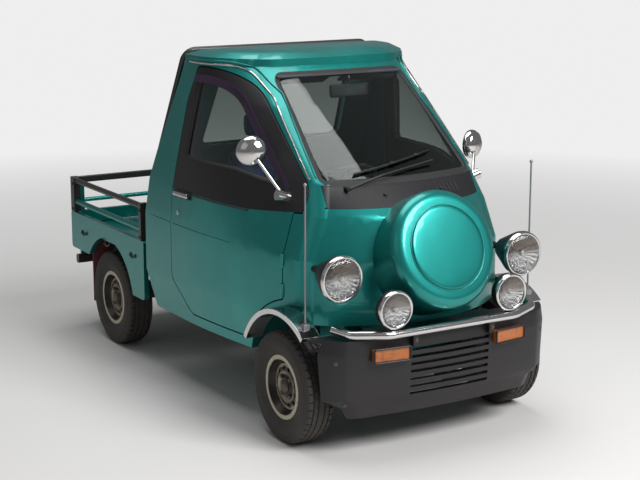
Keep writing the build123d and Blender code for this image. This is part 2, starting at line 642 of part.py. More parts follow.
# Rear bumper, lamps and flaps
bumper_y = 1348.0 + seat_gap
rear_bumper = prism_x([(bumper_y, 345, 10), (bumper_y, 395, 10), (1386, 395, 14), (1386, 345, 14)], -620, 620)
for x in (-300, 300):
    rear_bumper = rear_bumper + block(x - 20, x + 20, bumper_y, 1362, 380, 430)
tail_lamp = block(440, 600, 1348, 1380, 430, 490)
flap = block(495, 612, 1160, 1166, 168, bed_floor_top - bed_floor)

# Guard hoop behind the cab
hoop_r = 14.0
hoop_foot_z = bed_side_top + seat_gap
hoop_path = [
    (-598, 428, hoop_foot_z), (-598, 396, 930), (-520, 140, 1628), (520, 140, 1628), (598, 396, 930),
    (598, 428, hoop_foot_z),
]
hoop = pipe(hoop_path, hoop_r, [120, 60, 60, 120]) - block(-700, 700, 380, 480, 500, hoop_foot_z)

# Corner poles, each on a clip at the head of an arch trim
pole_x = (trim_x0 + trim_x1) / 2
pole_y = -1130.0
pole_top = 1178.0
pole = rod_z(4, 565, pole_top - 8, pole_x, pole_y) + Pos(pole_x, pole_y, pole_top - 8) * Sphere(8)
pole = pole + block(pole_x - 14, pole_x + 14, pole_y - 14, pole_y + 14, 530, 572)
pole = pole - rod_x(arch_r + seat_gap, 500, 700, arch_y, hub_z)

# Wiper


def front_y(x, z, inset=0.0):
    """Where the front of the cab lies at a given side distance and height."""
    ray = Edge.make_line((x, -1500, z), (x, -250, z))
    return min(v.Y for v in (cab_solid(inset) & ray).vertices())


wiper_lift = 22.0
# columns: x, z
wiper_rows = [(-300, 1103), (-110, 1148), (190, 1182)]
wiper_points = [(x, front_y(x, z) - wiper_lift, z) for x, z in wiper_rows]
wiper_arm = pipe(wiper_points, 5, [200])
pivot = rod_y(9, wiper_points[0][1] - 6, wiper_points[0][1] + 60, wiper_rows[0][0], wiper_rows[0][1])
pivot = pivot - cab_solid(-seat_gap)
wiper_arm = wiper_arm + pivot

# Seat, steering wheel and dashboard
seat_x = -110.0
cushion = block(seat_x - 220, seat_x + 220, -300, 150, 600.5, 720)
back_lean = Pos(seat_x, 82, 935) * Rot(-9, 0, 0)
back_half = 210.0
post_run = 30.0
head_half = 70.0
backrest = back_lean * Box(430, 110, 2 * back_half)
headrest = Pos(0, -12, back_half + post_run + head_half) * Box(230, 80, 2 * head_half)
for x in (-60, 60):
    headrest = headrest + Pos(x, 0, back_half + seat_gap) * Cylinder(6, post_run + 10, align=(Align.CENTER, Align.CENTER, Align.MIN))
headrest = back_lean * headrest
wheel_centre = Vector(seat_x, -600, 1040)
wheel_tilt = 38.0
column_axis = (0, sin(radians(wheel_tilt)), cos(radians(wheel_tilt)))
wheel_plane = Plane(origin=wheel_centre, x_dir=(1, 0, 0), z_dir=column_axis)
hoop_side = [(168, -5), (175, -12), (185, -12), (192, -5), (192, 5), (185, 12), (175, 12), (168, 5)]
wheel_hoop = revolve(Plane.XZ * loop(hoop_side), axis=Axis.Z)
steering = wheel_plane * (wheel_hoop + Cylinder(36, 24) + Box(350, 24, 10) + Pos(0, -88, 0) * Box(24, 170, 10))
column = wheel_plane * (Pos(0, 0, -13) * Cylinder(22, 330, align=(Align.CENTER, Align.CENTER, Align.MAX)))
dash_x = fender_in - 0.7 - seat_gap
dash = prism_x([(-960, 800), (-930, 1060, 40), (-760, 1040, 60), (-740, 830, 40)], -dash_x, dash_x)
dash = dash & cab_solid(wall + seat_gap)
dash = dash + column

save("ladder_frame", ladder)
save("cab_floor", cab_floor)
save("front_panel", front_panel)
save("spare_cover", spare_cover)
save("cowl", cowl)
save("fenders", both(fender))
save("windscreen_pillars", pillars)
save("cab_sides", both(cab_side))
save("cab_back", cab_back)
save("roof", roof)
save("cab_glass", screen_glass, back_glass)
save("door_left", door_panel)
save("door_right", flip(door_panel))
save("door_frame_left", door_frame)
save("door_frame_right", flip(door_frame))
save("door_glass_left", door_glass)
save("door_glass_right", flip(door_glass))
save("mirror_left", door_mirror(1190))
save("mirror_right", flip(door_mirror(1250)))
save("front_lamps", both(headlamp), both(fog))
save("lamp_lenses", both(head_lens), both(fog_lens))
save("turn_signals", both(signal))
save("tail_lamps", both(tail_lamp))
save("bumper_pipe", bumper_pipe)
save("front_skirt", skirt)
save("arch_trims", both(lip))
save("corner_poles", both(pole))
save("wiper", wiper_arm)
save("bed_floor", bed_pan)
save("bed_sides", both(bed_side), both(mid_rail))
save("bed_rack", both(rack))
save("tailgate", gate)
save("tailgate_bar", gate_bar)
save("rear_bumper", rear_bumper)
save("guard_hoop", hoop)
save("mud_flaps", both(flap))
save("engine", engine)
save("fuel_tank", tank)
save("exhaust", exhaust + muffler + exhaust_tail)
save("rear_axle", rear_axle)
save("leaf_springs", both(spring + hangers[0] + hangers[1]))
save("front_suspension", both(arm + arm_post), both(strut_top))
save("knuckle_left", knuckle)
save("knuckle_right", flip(knuckle))
for name, y, side in (("fl", front_axle_y, 1), ("fr", front_axle_y, -1), ("rl", rear_axle_y, 1), ("rr", rear_axle_y, -1)):
    tyre, rim = wheel_parts(y, side)
    save(f"tyre_{name}", tyre)
    save(f"rim_{name}", rim)
save("seat", cushion, backrest, headrest)
save("steering_wheel", steering)
save("dashboard", dash)
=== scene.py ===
import json
import bmesh
import bpy
from functools import cache
from math import cos, exp, pi, radians, sin, tan
from mathutils import Matrix, Vector
from mathutils.bvhtree import BVHTree


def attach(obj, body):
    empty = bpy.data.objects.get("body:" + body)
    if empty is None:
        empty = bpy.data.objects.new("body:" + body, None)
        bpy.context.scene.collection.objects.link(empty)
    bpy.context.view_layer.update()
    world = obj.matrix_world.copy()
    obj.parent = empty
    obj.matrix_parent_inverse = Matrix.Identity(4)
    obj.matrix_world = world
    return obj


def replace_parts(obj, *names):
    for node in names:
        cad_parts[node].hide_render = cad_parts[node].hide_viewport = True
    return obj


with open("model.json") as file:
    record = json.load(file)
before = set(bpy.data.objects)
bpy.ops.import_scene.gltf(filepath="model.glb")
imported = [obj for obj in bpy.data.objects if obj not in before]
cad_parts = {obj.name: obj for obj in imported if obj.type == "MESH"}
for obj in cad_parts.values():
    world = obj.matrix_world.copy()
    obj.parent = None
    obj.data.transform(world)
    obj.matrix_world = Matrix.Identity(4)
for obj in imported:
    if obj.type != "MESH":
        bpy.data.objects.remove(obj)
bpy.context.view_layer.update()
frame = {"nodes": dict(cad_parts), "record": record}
cad = frame["nodes"]
scene = bpy.context.scene
scene.view_settings.view_transform = "Standard"


# Camera at the photograph's viewing angle

def set_camera():
    """Camera where the photograph was taken from: about seven metres off, at head height."""
    down = 12.22
    right = 30.92
    data = bpy.data.cameras.new("camera")
    data.sensor_width = 36.0
    data.lens = 84.98
    data.clip_end = 200.0
    camera = bpy.data.objects.new("camera", data)
    camera.location = (-3.7150, -6.4583, 2.2738)
    camera.rotation_euler = (radians(90.0 - down), 0.0, radians(-right))
    scene.collection.objects.link(camera)
    scene.camera = camera


set_camera()


# Shader wiring and shared shader groups

class Tree:
    """Shader nodes of one material, group or world; inputs take plain values or sockets."""

    def __init__(self, tree):
        self.nodes = tree.nodes
        self.links = tree.links

    def fill(self, node, inputs):
        """Set a node's inputs, or link them to sockets."""
        for key, value in dict(inputs).items():
            if isinstance(value, bpy.types.NodeSocket):
                self.links.new(value, node.inputs[key])
            else:
                node.inputs[key].default_value = value
        return node

    def add(self, kind, inputs=(), **settings):
        """One node with its settings and inputs."""
        node = self.nodes.new("ShaderNode" + kind)
        for name, value in settings.items():
            setattr(node, name, value)
        return self.fill(node, inputs)

    def place(self):
        """The object's own coordinates."""
        return self.add("TexCoord").outputs["Object"]

    def height(self):
        """Height above the ground."""
        return self.add("SeparateXYZ", {"Vector": self.place()}).outputs["Z"]

    def math(self, operation, *values, clamp=False):
        """Result of one math node."""
        return self.add("Math", enumerate(values), operation=operation, use_clamp=clamp).outputs[0]

    def vector_math(self, operation, *values):
        """Result of one vector math node."""
        node = self.add("VectorMath", enumerate(values), operation=operation)
        return node.outputs["Value" if operation == "LENGTH" else "Vector"]

    def noise(self, scale, detail, roughness=0.5):
        """Noise over the object's own coordinates."""
        inputs = {"Vector": self.place(), "Scale": scale, "Detail": detail, "Roughness": roughness}
        return self.add("TexNoise", inputs).outputs["Fac"]

    def bands(self, direction, scale):
        """Waves across one direction of the object."""
        inputs = {"Vector": self.place(), "Scale": scale}
        settings = {"wave_type": "BANDS", "bands_direction": direction}
        return self.add("TexWave", inputs, **settings).outputs["Fac"]

    def bump(self, height, depth, strength):
        """Normal that a height gives; depth is in metres."""
        inputs = {"Height": height, "Distance": depth, "Strength": strength}
        return self.add("Bump", inputs).outputs["Normal"]

    def mix(self, factor, first, second):
        """Colour between two others."""
        inputs = {"Factor": factor, "A": first, "B": second}
        return self.add("Mix", inputs, data_type="RGBA").outputs["Result"]

    def group(self, group, inputs):
        """Outputs of a shared shader group."""
        return self.add("Group", inputs, node_tree=group).outputs


def new_material(name):
    """Node material; returns it, its wiring and its shader."""
    material = bpy.data.materials.new(name)
    material.use_nodes = True
    tree = Tree(material.node_tree)
    return material, tree, tree.nodes["Principled BSDF"]


def new_group(name, inputs, outputs):
    """Shader group; inputs are names with defaults, outputs names with their count of channels."""
    kinds = {1: "NodeSocketFloat", 3: "NodeSocketVector", 4: "NodeSocketColor"}
    group = bpy.data.node_groups.new(name, "ShaderNodeTree")
    for label, default in inputs.items():
        channels = 1 if isinstance(default, float) else len(default)
        socket = group.interface.new_socket(name=label, in_out="INPUT", socket_type=kinds[channels])
        socket.default_value = default
    for label, channels in outputs.items():
        group.interface.new_socket(name=label, in_out="OUTPUT", socket_type=kinds[channels])
    tree = Tree(group)
    return group, tree, group.nodes.new("NodeGroupInput").outputs, group.nodes.new("NodeGroupOutput")


mid_grey = (0.5, 0.5, 0.5, 1.0)


def make_grain_group():
    """Fine surface grain: a height for bump and a roughness that varies with it."""
    inputs = {"Scale": 400.0, "Roughness": 0.5, "Spread": 0.1}
    group, tree, entry, leave = new_group("surface_grain", inputs, {"Height": 1, "Roughness": 1})
    swing = tree.math("SUBTRACT", tree.noise(6.0, 5.0), 0.5)
    roughness = tree.math("MULTIPLY_ADD", swing, entry["Spread"], entry["Roughness"])
    tree.fill(leave, {"Height": tree.noise(entry["Scale"], 3.0), "Roughness": roughness})
    return group


def make_dirt_group():
    """Road dirt over a clean colour: more near the ground, broken up by noise."""
    inputs = {"Clean": mid_grey, "Dirt": mid_grey, "Top": 0.6, "Amount": 0.3}
    group, tree, entry, leave = new_group("road_dirt", inputs, {"Color": 4})
    share = tree.math("DIVIDE", tree.height(), entry["Top"])
    falling = tree.math("SUBTRACT", 1.0, share, clamp=True)
    broken = tree.math("MULTIPLY", falling, tree.noise(9.0, 8.0, 0.62))
    mask = tree.math("MULTIPLY", broken, entry["Amount"], clamp=True)
    tree.fill(leave, {"Color": tree.mix(mask, entry["Clean"], entry["Dirt"])})
    return group


def make_patch_group():
    """Uneven patches of a second colour, such as rust bloom, stains or faded paint."""
    inputs = {"Base": mid_grey, "Patch": mid_grey, "Scale": 20.0, "Threshold": 0.55}
    group, tree, entry, leave = new_group("uneven_patches", inputs, {"Color": 4})
    over = tree.math("SUBTRACT", tree.noise(entry["Scale"], 9.0, 0.68), entry["Threshold"])
    mask = tree.math("MULTIPLY", over, 7.0, clamp=True)
    tree.fill(leave, {"Color": tree.mix(mask, entry["Base"], entry["Patch"])})
    return group


def make_ring_group():
    """Painted shade with brake dust on a wheel by the distance from its axle: bright lip, dark dish and
    slots, dark centre.
    """
    inputs = {"Clean": mid_grey, "Shade_and_dust": mid_grey, "Axle": (0.0, 0.0, 0.0)}
    group, tree, entry, leave = new_group("wheel_shade_and_dust", inputs, {"Color": 4})
    farthest = 1.5
    # columns: radius in decimetres, share of painted shade and brake dust
    stops = [
        (0.3, 1.0), (0.5, 0.95), (0.6, 0.35), (0.7, 0.35), (0.79, 0.92), (0.91, 0.92),
        (0.98, 0.1), (1.06, 0.05), (1.13, 0.96), (1.27, 1.0), (1.33, 0.05), (1.48, 0.0),
    ]
    # the dark rings are painted shade in the dish, slots and centre, with brake dust
    away = tree.vector_math("SUBTRACT", tree.place(), entry["Axle"])
    flat = tree.vector_math("MULTIPLY", away, (0.0, 1.0, 1.0))
    reach = tree.vector_math("LENGTH", flat)
    shaken = tree.math("MULTIPLY_ADD", tree.noise(40.0, 6.0, 0.6), 0.01, reach)
    ramp = tree.add("ValToRGB", {"Fac": tree.math("MULTIPLY", shaken, 10.0 / farthest)})
    ramp.color_ramp.interpolation = "EASE"
    points = ramp.color_ramp.elements
    points[1].position = stops[-1][0] / farthest
    points[0].position = stops[0][0] / farthest
    for radius, _ in stops[1:-1]:
        points.new(radius / farthest)
    for point, (_, shade_and_dust) in zip(points, stops):
        point.color = (shade_and_dust, shade_and_dust, shade_and_dust, 1.0)
    tree.fill(leave, {"Color": tree.mix(ramp.outputs["Color"], entry["Clean"], entry["Shade_and_dust"])})
    return group


surface_grain = make_grain_group()
road_dirt = make_dirt_group()
uneven_patches = make_patch_group()
wheel_shade_and_dust = make_ring_group()


def add_grain(tree, shader, scale, roughness, spread, depth):
    """Grain on a shader: varied roughness and a bump of the given depth in metres."""
    grain = tree.group(surface_grain, {"Scale": scale, "Roughness": roughness, "Spread": spread})
    tree.fill(shader, {"Roughness": grain["Roughness"], "Normal": tree.bump(grain["Height"], depth, 0.6)})


def patched(tree, base, patch):
    """Colour socket of a base colour with patches; patch is (colour, scale, threshold)."""
    second, scale, threshold = patch
    inputs = {"Base": base, "Patch": (*second, 1.0), "Scale": scale, "Threshold": threshold}
    return tree.group(uneven_patches, inputs)["Color"]


def add_colour(tree, shader, color, patch=None, dirt=None):
    """Base colour with patches and road dirt over it; dirt is (colour, top, amount)."""
    base = (*color, 1.0)
    if patch:
        base = patched(tree, base, patch)
    if dirt:
        layer, top, amount = dirt
        inputs = {"Clean": base, "Dirt": (*layer, 1.0), "Top": top, "Amount": amount}
        base = tree.group(road_dirt, inputs)["Color"]
    tree.fill(shader, {"Base Color": base})


# Materials

plain_grain = (500.0, 0.08, 0.0001)


def make_plain(name, color, roughness, metallic=0.0, grain=plain_grain, dirt=None, patch=None,
               coat=0.0, coat_roughness=0.03):
    """Painted, moulded or cast surface; grain is (scale, spread, depth)."""
    material, tree, shader = new_material(name)
    scale, spread, depth = grain
    add_colour(tree, shader, color, patch, dirt)
    add_grain(tree, shader, scale, roughness, spread, depth)
    tree.fill(shader, {"Metallic": metallic, "Coat Weight": coat, "Coat Roughness": coat_roughness})
    return material


def make_glass(name, color, roughness=0.0, ribs=0.0):
    """Clear pane, tinted a little, with lens ribs where asked."""
    material, tree, shader = new_material(name)
    inputs = {"Base Color": (*color, 1.0), "Roughness": roughness, "Transmission Weight": 1.0, "IOR": 1.45}
    if ribs:
        inputs["Normal"] = tree.bump(tree.bands("X", ribs), 0.0012, 0.5)
    tree.fill(shader, inputs)
    return material


def make_lens(name, color, ribs):
    """Coloured lens plastic over a dark chamber: glossy, with moulded ribs."""
    material, tree, shader = new_material(name)
    add_colour(tree, shader, color, (tuple(0.55 * c for c in color), 26.0, 0.52))
    normal = tree.bump(tree.bands("X", ribs), 0.0015, 0.5)
    tree.fill(shader, {"Roughness": 0.16, "Coat Weight": 0.6, "Normal": normal})
    return material


def make_reflector(name, centre):
    """Plated lamp bowl with a painted reflection: dark above its middle, as of the dark room, and pale
    below, as of the floor.
    """
    material, tree, shader = new_material(name)
    # painted reflection: the colour goes from pale below the bowl's middle to dark above it
    inputs = {"Value": tree.height(), "From Min": centre - 0.03, "From Max": centre + 0.022}
    fade = tree.add("MapRange", inputs, interpolation_type="SMOOTHSTEP").outputs[0]
    painted_reflection = tree.mix(fade, (0.86, 0.86, 0.84, 1.0), (0.2, 0.17, 0.15, 1.0))
    color = patched(tree, painted_reflection, ((0.06, 0.06, 0.06), 70.0, 0.56))
    add_grain(tree, shader, 75.0, 0.08, 0.05, 0.005)
    tree.fill(shader, {"Base Color": color, "Metallic": 1.0})
    return material


def make_wheel_paint(name, axle):
    """Dull beige silver wheel paint with painted shade and brake dust in its rings."""
    material, tree, shader = new_material(name)
    # near-black colour of the painted shade and brake dust in the wheel's rings
    inputs = {"Clean": (0.5, 0.45, 0.33, 1.0), "Shade_and_dust": (0.012, 0.01, 0.008, 1.0), "Axle": axle}
    rings = tree.group(wheel_shade_and_dust, inputs)["Color"]
    color = patched(tree, rings, ((0.13, 0.09, 0.06), 34.0, 0.58))
    add_grain(tree, shader, 500.0, 0.42, 0.1, 0.0001)
    tree.fill(shader, {"Base Color": color, "Metallic": 0.3})
    return material


def make_cloth():
    """Woven seat cloth: a fine over-and-under weave with a soft sheen."""
    material, tree, shader = new_material("seat_weave")
    add_colour(tree, shader, (0.045, 0.075, 0.21), ((0.03, 0.05, 0.13), 14.0, 0.5))
    woven = tree.math("MULTIPLY", tree.bands("X", 110.0), tree.bands("Z", 110.0))
    normal = tree.bump(woven, 0.0008, 0.7)
    tree.fill(shader, {"Normal": normal, "Roughness": 0.92, "Sheen Weight": 0.35})
    return material


wheel_centres = {}
for joint in frame["record"]["behaviour"]["joints"]:
    if joint["name"].endswith("_spin"):
        wheel_centres[joint["child"].removeprefix("wheel_")] = Vector(joint["pos_m"])
head_height = 0.774
fog_height = 0.65
dust = (0.22, 0.18, 0.14)
rust = (0.11, 0.045, 0.02)
chrome_grain = (300.0, 0.06, 0.00001)
materials = {
    "body_paint": make_plain("teal_body_paint", (0.008, 0.25, 0.228), 0.34, 0.72, (1400.0, 0.1, 0.00002),
                             ((0.07, 0.1, 0.085), 0.75, 0.24), ((0.01, 0.285, 0.26), 3.0, 0.5),
                             0.45, 0.05),
    "black_panel": make_plain("black_panel_plastic", (0.008, 0.007, 0.009), 0.46, dirt=(dust, 0.5, 0.12)),
    "black_paint": make_plain("black_rail_paint", (0.018, 0.017, 0.018), 0.38, dirt=(dust, 1.1, 0.22),
                              coat=0.2),
    "bright_metal": make_plain("bright_plating", (0.66, 0.65, 0.64), 0.13, 1.0, chrome_grain,
                               patch=((0.4, 0.38, 0.35), 60.0, 0.58)),
    # the glass's own green tint, deepened so that the cab seen through it looks dark: partly painted shade
    "window_glass": make_glass("window_glass", (0.66, 0.74, 0.71)),
    "lamp_glass": make_glass("lamp_glass", (0.95, 0.96, 0.97), 0.03, 38.0),
    "amber_lens": make_lens("amber_lens", (0.42, 0.105, 0.004), 46.0),
    "red_lens": make_lens("red_lens", (0.42, 0.01, 0.01), 46.0),
    "tyre_rubber": make_plain("tyre_rubber", (0.016, 0.016, 0.016), 0.72, dirt=(dust, 0.8, 0.28)),
    "wheel_paint": make_wheel_paint("wheel_paint_front", wheel_centres["fl"]),
    "frame_paint": make_plain("frame_paint", (0.02, 0.02, 0.02), 0.6, dirt=(dust, 0.8, 0.6),
                              patch=(rust, 16.0, 0.6)),
    "cast_metal": make_plain("cast_metal", (0.16, 0.15, 0.14), 0.6, 0.6, (60.0, 0.1, 0.0008),
                             patch=((0.05, 0.045, 0.04), 12.0, 0.55)),
    "bare_steel": make_plain("bare_steel", (0.3, 0.26, 0.22), 0.5, 0.8, (80.0, 0.1, 0.0003),
                             patch=(rust, 18.0, 0.52)),
    "flap_rubber": make_plain("flap_rubber", (0.15, 0.04, 0.038), 0.65, dirt=(dust, 0.7, 0.35)),
    "seat_cloth": make_cloth(),
    "dash_plastic": make_plain("dash_plastic", (0.036, 0.036, 0.042), 0.55, grain=(700.0, 0.06, 0.0003)),
}
own_materials = {
    "rubber": make_plain("seal_rubber", (0.012, 0.012, 0.013), 0.6, grain=(900.0, 0.05, 0.00005)),
    "visor_plastic": make_plain("smoked_visor_plastic", (0.035, 0.02, 0.045), 0.16,
                                grain=(200.0, 0.04, 0.00002)),
    # lamp bowls with a painted reflection, dark above the lamp's middle and pale below
    "head_reflector": make_reflector("head_reflector", head_height),
    "fog_reflector": make_reflector("fog_reflector", fog_height),
    "mirror_face": make_plain("mirror_face", (0.86, 0.87, 0.88), 0.03, 1.0, (60.0, 0.01, 0.00001)),
    "dark_steel": make_plain("nut_steel", (0.12, 0.1, 0.085), 0.45, 0.8, (90.0, 0.1, 0.0002),
                             patch=(rust, 60.0, 0.55)),
    "piping": make_plain("seat_piping", (0.03, 0.035, 0.05), 0.6, grain=(900.0, 0.05, 0.0001)),
    "pale_bulb": make_plain("bulb_glass", (0.55, 0.54, 0.5), 0.2, grain=(200.0, 0.05, 0.0001)),
}
# scene's own materials that take the place of a CAD node's slot material
pole_metal = make_plain("pole_metal", (0.3, 0.3, 0.31), 0.35, 0.7, (300.0, 0.06, 0.00002))
rear_wheel_paint = make_wheel_paint("wheel_paint_rear", wheel_centres["rl"])


# Soft edges and finishes on the CAD nodes

def soften(node):
    """Narrow rounded edges, with smooth shading between them."""
    for polygon in node.data.polygons:
        polygon.use_smooth = True
    weld = node.modifiers.new("weld", "WELD")
    weld.merge_threshold = 0.00002
    bevel = node.modifiers.new("edges", "BEVEL")
    bevel.limit_method = "ANGLE"
    bevel.angle_limit = radians(38)
    bevel.width = 0.0022
    bevel.segments = 2
    bevel.harden_normals = False
    normals = node.modifiers.new("shading", "WEIGHTED_NORMAL")
    normals.keep_sharp = True


def finish_cad_nodes():
    """Each CAD node's material by its slot, and soft edges on all but glass."""
    glass = {"cab_glass", "door_glass_left", "door_glass_right", "lamp_lenses"}
    own_paint = {"corner_poles": pole_metal, "rim_rl": rear_wheel_paint, "rim_rr": rear_wheel_paint}
    for entry in frame["record"]["subparts"]:
        name = entry["node"]
        cad[name].data.materials.clear()
        cad[name].data.materials.append(own_paint.get(name, materials[entry["material_slot"]]))
        if name not in glass:
            soften(cad[name])


finish_cad_nodes()


# Mesh helpers

at = Matrix.Translation


def turned(degrees, axis):
    """Matrix of a turn about one axis."""
    return Matrix.Rotation(radians(degrees), 4, axis)


def placed(point, normal, turn=0.0):
    """Matrix with its Z axis along a normal at a point."""
    aim = Vector(normal).to_track_quat("Z", "Y").to_matrix().to_4x4()
    return at(point) @ aim @ Matrix.Rotation(turn, 4, "Z")


def ring_faces(rings, sides, closed=True):
    """Faces of a skin over rings of points, joined last to first or capped at both ends."""
    faces = []
    for i in range(rings if closed else rings - 1):
        j = (i + 1) % rings
        for k in range(sides):
            m = (k + 1) % sides
            faces.append((i * sides + k, i * sides + m, j * sides + m, j * sides + k))
    if not closed:
        last = (rings - 1) * sides
        faces += [tuple(range(sides))[::-1], tuple(range(last, last + sides))]
    return faces


def lathe(rows, steps, matrix, flutes=0, flute_depth=0.0):
    """Turned form about the matrix's Z axis; rows are (height, radius)."""
    verts = []
    faces = []
    rings = []
    for height, radius in rows:
        ring = []
        for i in range(steps if radius else 1):
            a = 2 * pi * i / steps
            r = radius * (1 + flute_depth * cos(flutes * a))
            ring.append(len(verts))
            verts.append(matrix @ Vector((r * cos(a), r * sin(a), height)))
        rings.append(ring)
    for low, high in zip(rings, rings[1:]):
        for i in range(steps):
            j = (i + 1) % steps
            corners = (low[i % len(low)], low[j % len(low)], high[j % len(high)], high[i % len(high)])
            face = tuple(dict.fromkeys(corners))
            if len(face) > 2:
                faces.append(face)
    return verts, faces


def run_at(points, i, closed):
    """Direction of a line at one of its points."""
    count = len(points)
    after = points[(i + 1) % count] if closed or i < count - 1 else points[i]
    before = points[i - 1] if closed or i > 0 else points[i]
    return (after - before).normalized()


def tube(points, radius, sides=8, closed=False, flat=1.0):
    """Tube along points; flat under 1 makes its section an oval."""
    points = [Vector(p) for p in points]
    verts = []
    side = None
    for i, p in enumerate(points):
        run = run_at(points, i, closed)
        if side is None:
            side = run.cross(Vector((0, 0, 1)))
            if side.length < 0.1:
                side = run.cross(Vector((1, 0, 0)))
        side = (side - run * side.dot(run)).normalized()
        up = run.cross(side)
        for k in range(sides):
            a = 2 * pi * k / sides
            verts.append(p + side * (cos(a) * radius) + up * (sin(a) * radius * flat))
    return verts, ring_faces(len(points), sides, closed)


def block(size, radius, matrix, segments=3):
    """Block with rounded edges, centred on its matrix."""
    form = bmesh.new()
    bmesh.ops.create_cube(form, size=1.0)
    bmesh.ops.scale(form, vec=size, verts=form.verts)
    bmesh.ops.bevel(form, geom=form.edges[:], offset=radius, segments=segments, profile=0.5, affect="EDGES")
    form.verts.index_update()
    verts = [matrix @ v.co for v in form.verts]
    faces = [tuple(v.index for v in f.verts) for f in form.faces]
    form.free()
    return verts, faces


def band(near, far, thick):
    """Strip with a thickness, between two lines of points."""
    verts = []
    for i, (a, b) in enumerate(zip(near, far)):
        out = run_at(near, i, False).cross(b - a).normalized() * thick
        verts += [a, b, b + out, a + out]
    return verts, ring_faces(len(near), 4, False)


def block_pair(size, radius, place, turn=Matrix()):
    """The same block right and left of the middle."""
    x, y, z = place
    return [block(size, radius, at((side * x, y, z)) @ turn) for side in (-1, 1)]


def mirrored(part):
    """The same piece on the other side of the vehicle."""
    verts, faces = part
    return [Vector((-v.x, v.y, v.z)) for v in verts], [tuple(reversed(f)) for f in faces]


def both_sides(parts):
    """The given parts and their mirror images."""
    return parts + [mirrored(part) for part in parts]


def hexagon_nut(matrix, size, height):
    """Six-sided nut with a chamfered top, on its washer."""
    washer_top = height * 0.15
    washer = lathe([(0, size * 1.35), (washer_top, size * 1.35), (washer_top, 0)], 20, matrix)
    nut = lathe([(0.0, size), (height * 0.85, size), (height, size * 0.8), (height, 0)], 6, matrix)
    return [washer, nut]


def piece(name, parts, finish, body="chassis", smooth=45.0):
    """One object from several parts on a body; edges over the smooth angle stay sharp."""
    mesh = bpy.data.meshes.new(name)
    form = bmesh.new()
    for verts, faces in parts:
        made = [form.verts.new(v) for v in verts]
        for face in faces:
            form.faces.new([made[i] for i in face])
    bmesh.ops.recalc_face_normals(form, faces=form.faces)
    form.to_mesh(mesh)
    form.free()
    mesh.shade_smooth()
    mesh.set_sharp_from_angle(angle=radians(smooth))
    obj = bpy.data.objects.new(name, mesh)
    mesh.materials.append(materials.get(finish) or own_materials[finish])
    scene.collection.objects.link(obj)
    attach(obj, body)
    return obj


def on_doors(rows, smooth=45.0):
    """Pieces of both doors, mirrored for the left one; rows are (name, parts, finish)."""
    for side in ("right", "left"):
        for name, parts, finish in rows:
            if side == "left":
                parts = [mirrored(part) for part in parts]
            piece(f"{name}_{side}", parts, finish, f"door_{side}", smooth)


def rounded_line(corners, steps=8, closed=False):
    """Line through (a, b, radius) corners with the corners rounded."""
    out = []
    count = len(corners)
    for i, (a, b, r) in enumerate(corners):
        p = Vector((a, b))
        if not closed and i in (0, count - 1) or r == 0:
            out.append(p)
            continue
        back = (Vector(corners[i - 1][:2]) - p).normalized()
        ahead = (Vector(corners[(i + 1) % count][:2]) - p).normalized()
        half = back.angle(ahead) / 2
        centre = p + (back + ahead).normalized() * (r / sin(half))
        start = p + back * (r / tan(half)) - centre
        end = p + ahead * (r / tan(half)) - centre
        turn = start.angle_signed(end)
        for k in range(steps + 1):
            out.append(centre + Matrix.Rotation(-turn * k / steps, 2) @ start)
    return out


def rounded_frame(half_width, half_height, radius, steps):
    """Closed line of a rectangle with rounded corners."""
    signs = [(-1, -1), (1, -1), (1, 1), (-1, 1)]
    return rounded_line([(a * half_width, b * half_height, radius) for a, b in signs], steps, True)


def divided(points, step=0.03, closed=False):
    """The same line with a point at least every step."""
    points = [Vector(p) for p in points]
    if closed:
        points.append(points[0])
    out = []
    for a, b in zip(points, points[1:]):
        cuts = max(1, int((b - a).length / step))
        out += [a.lerp(b, k / cuts) for k in range(cuts)]
    if not closed:
        out.append(points[-1])
    return out


def grown_line(points, by, closed=False):
    """Flat line moved to its left by a distance."""
    out = []
    for i, p in enumerate(points):
        run = run_at(points, i, closed)
        out.append(p + Vector((-run.y, run.x)) * by)
    return out


# Places on the CAD surfaces

beside = 1.5
ahead_of_all = 2.5


@cache
def surface(name):
    """Search tree over one CAD node's own mesh."""
    mesh = cad[name].data
    return BVHTree.FromPolygons([v.co for v in mesh.vertices], [tuple(p.vertices) for p in mesh.polygons])


def hit(names, start, direction):
    """Nearest point and outward normal along a line, or None twice."""
    found = [surface(name).ray_cast(Vector(start), Vector(direction)) for name in names]
    found = [row for row in found if row[0] is not None]
    if not found:
        return None, None
    place, normal, _, _ = min(found, key=lambda row: row[3])
    return place, -normal if normal.dot(Vector(direction)) > 0 else normal


def from_front(names, x, z):
    """Point and normal met from the front."""
    return hit(names, (x, -ahead_of_all, z), (0, 1, 0))


def from_behind(names, x, z):
    """Point and normal met from behind."""
    return hit(names, (x, ahead_of_all, z), (0, -1, 0))


def from_right(names, y, z):
    """Point and normal met from the vehicle's right."""
    return hit(names, (-beside, y, z), (1, 0, 0))


def lifted(cast, names, line, lift):
    """Points over a flat line, lifted off the surface that cast finds there."""
    found = [cast(names, *p) for p in line]
    return [place + normal * lift for place, normal in found if place is not None]


# Wheels: tyre with tread and sidewall, nuts, hub cap and valve

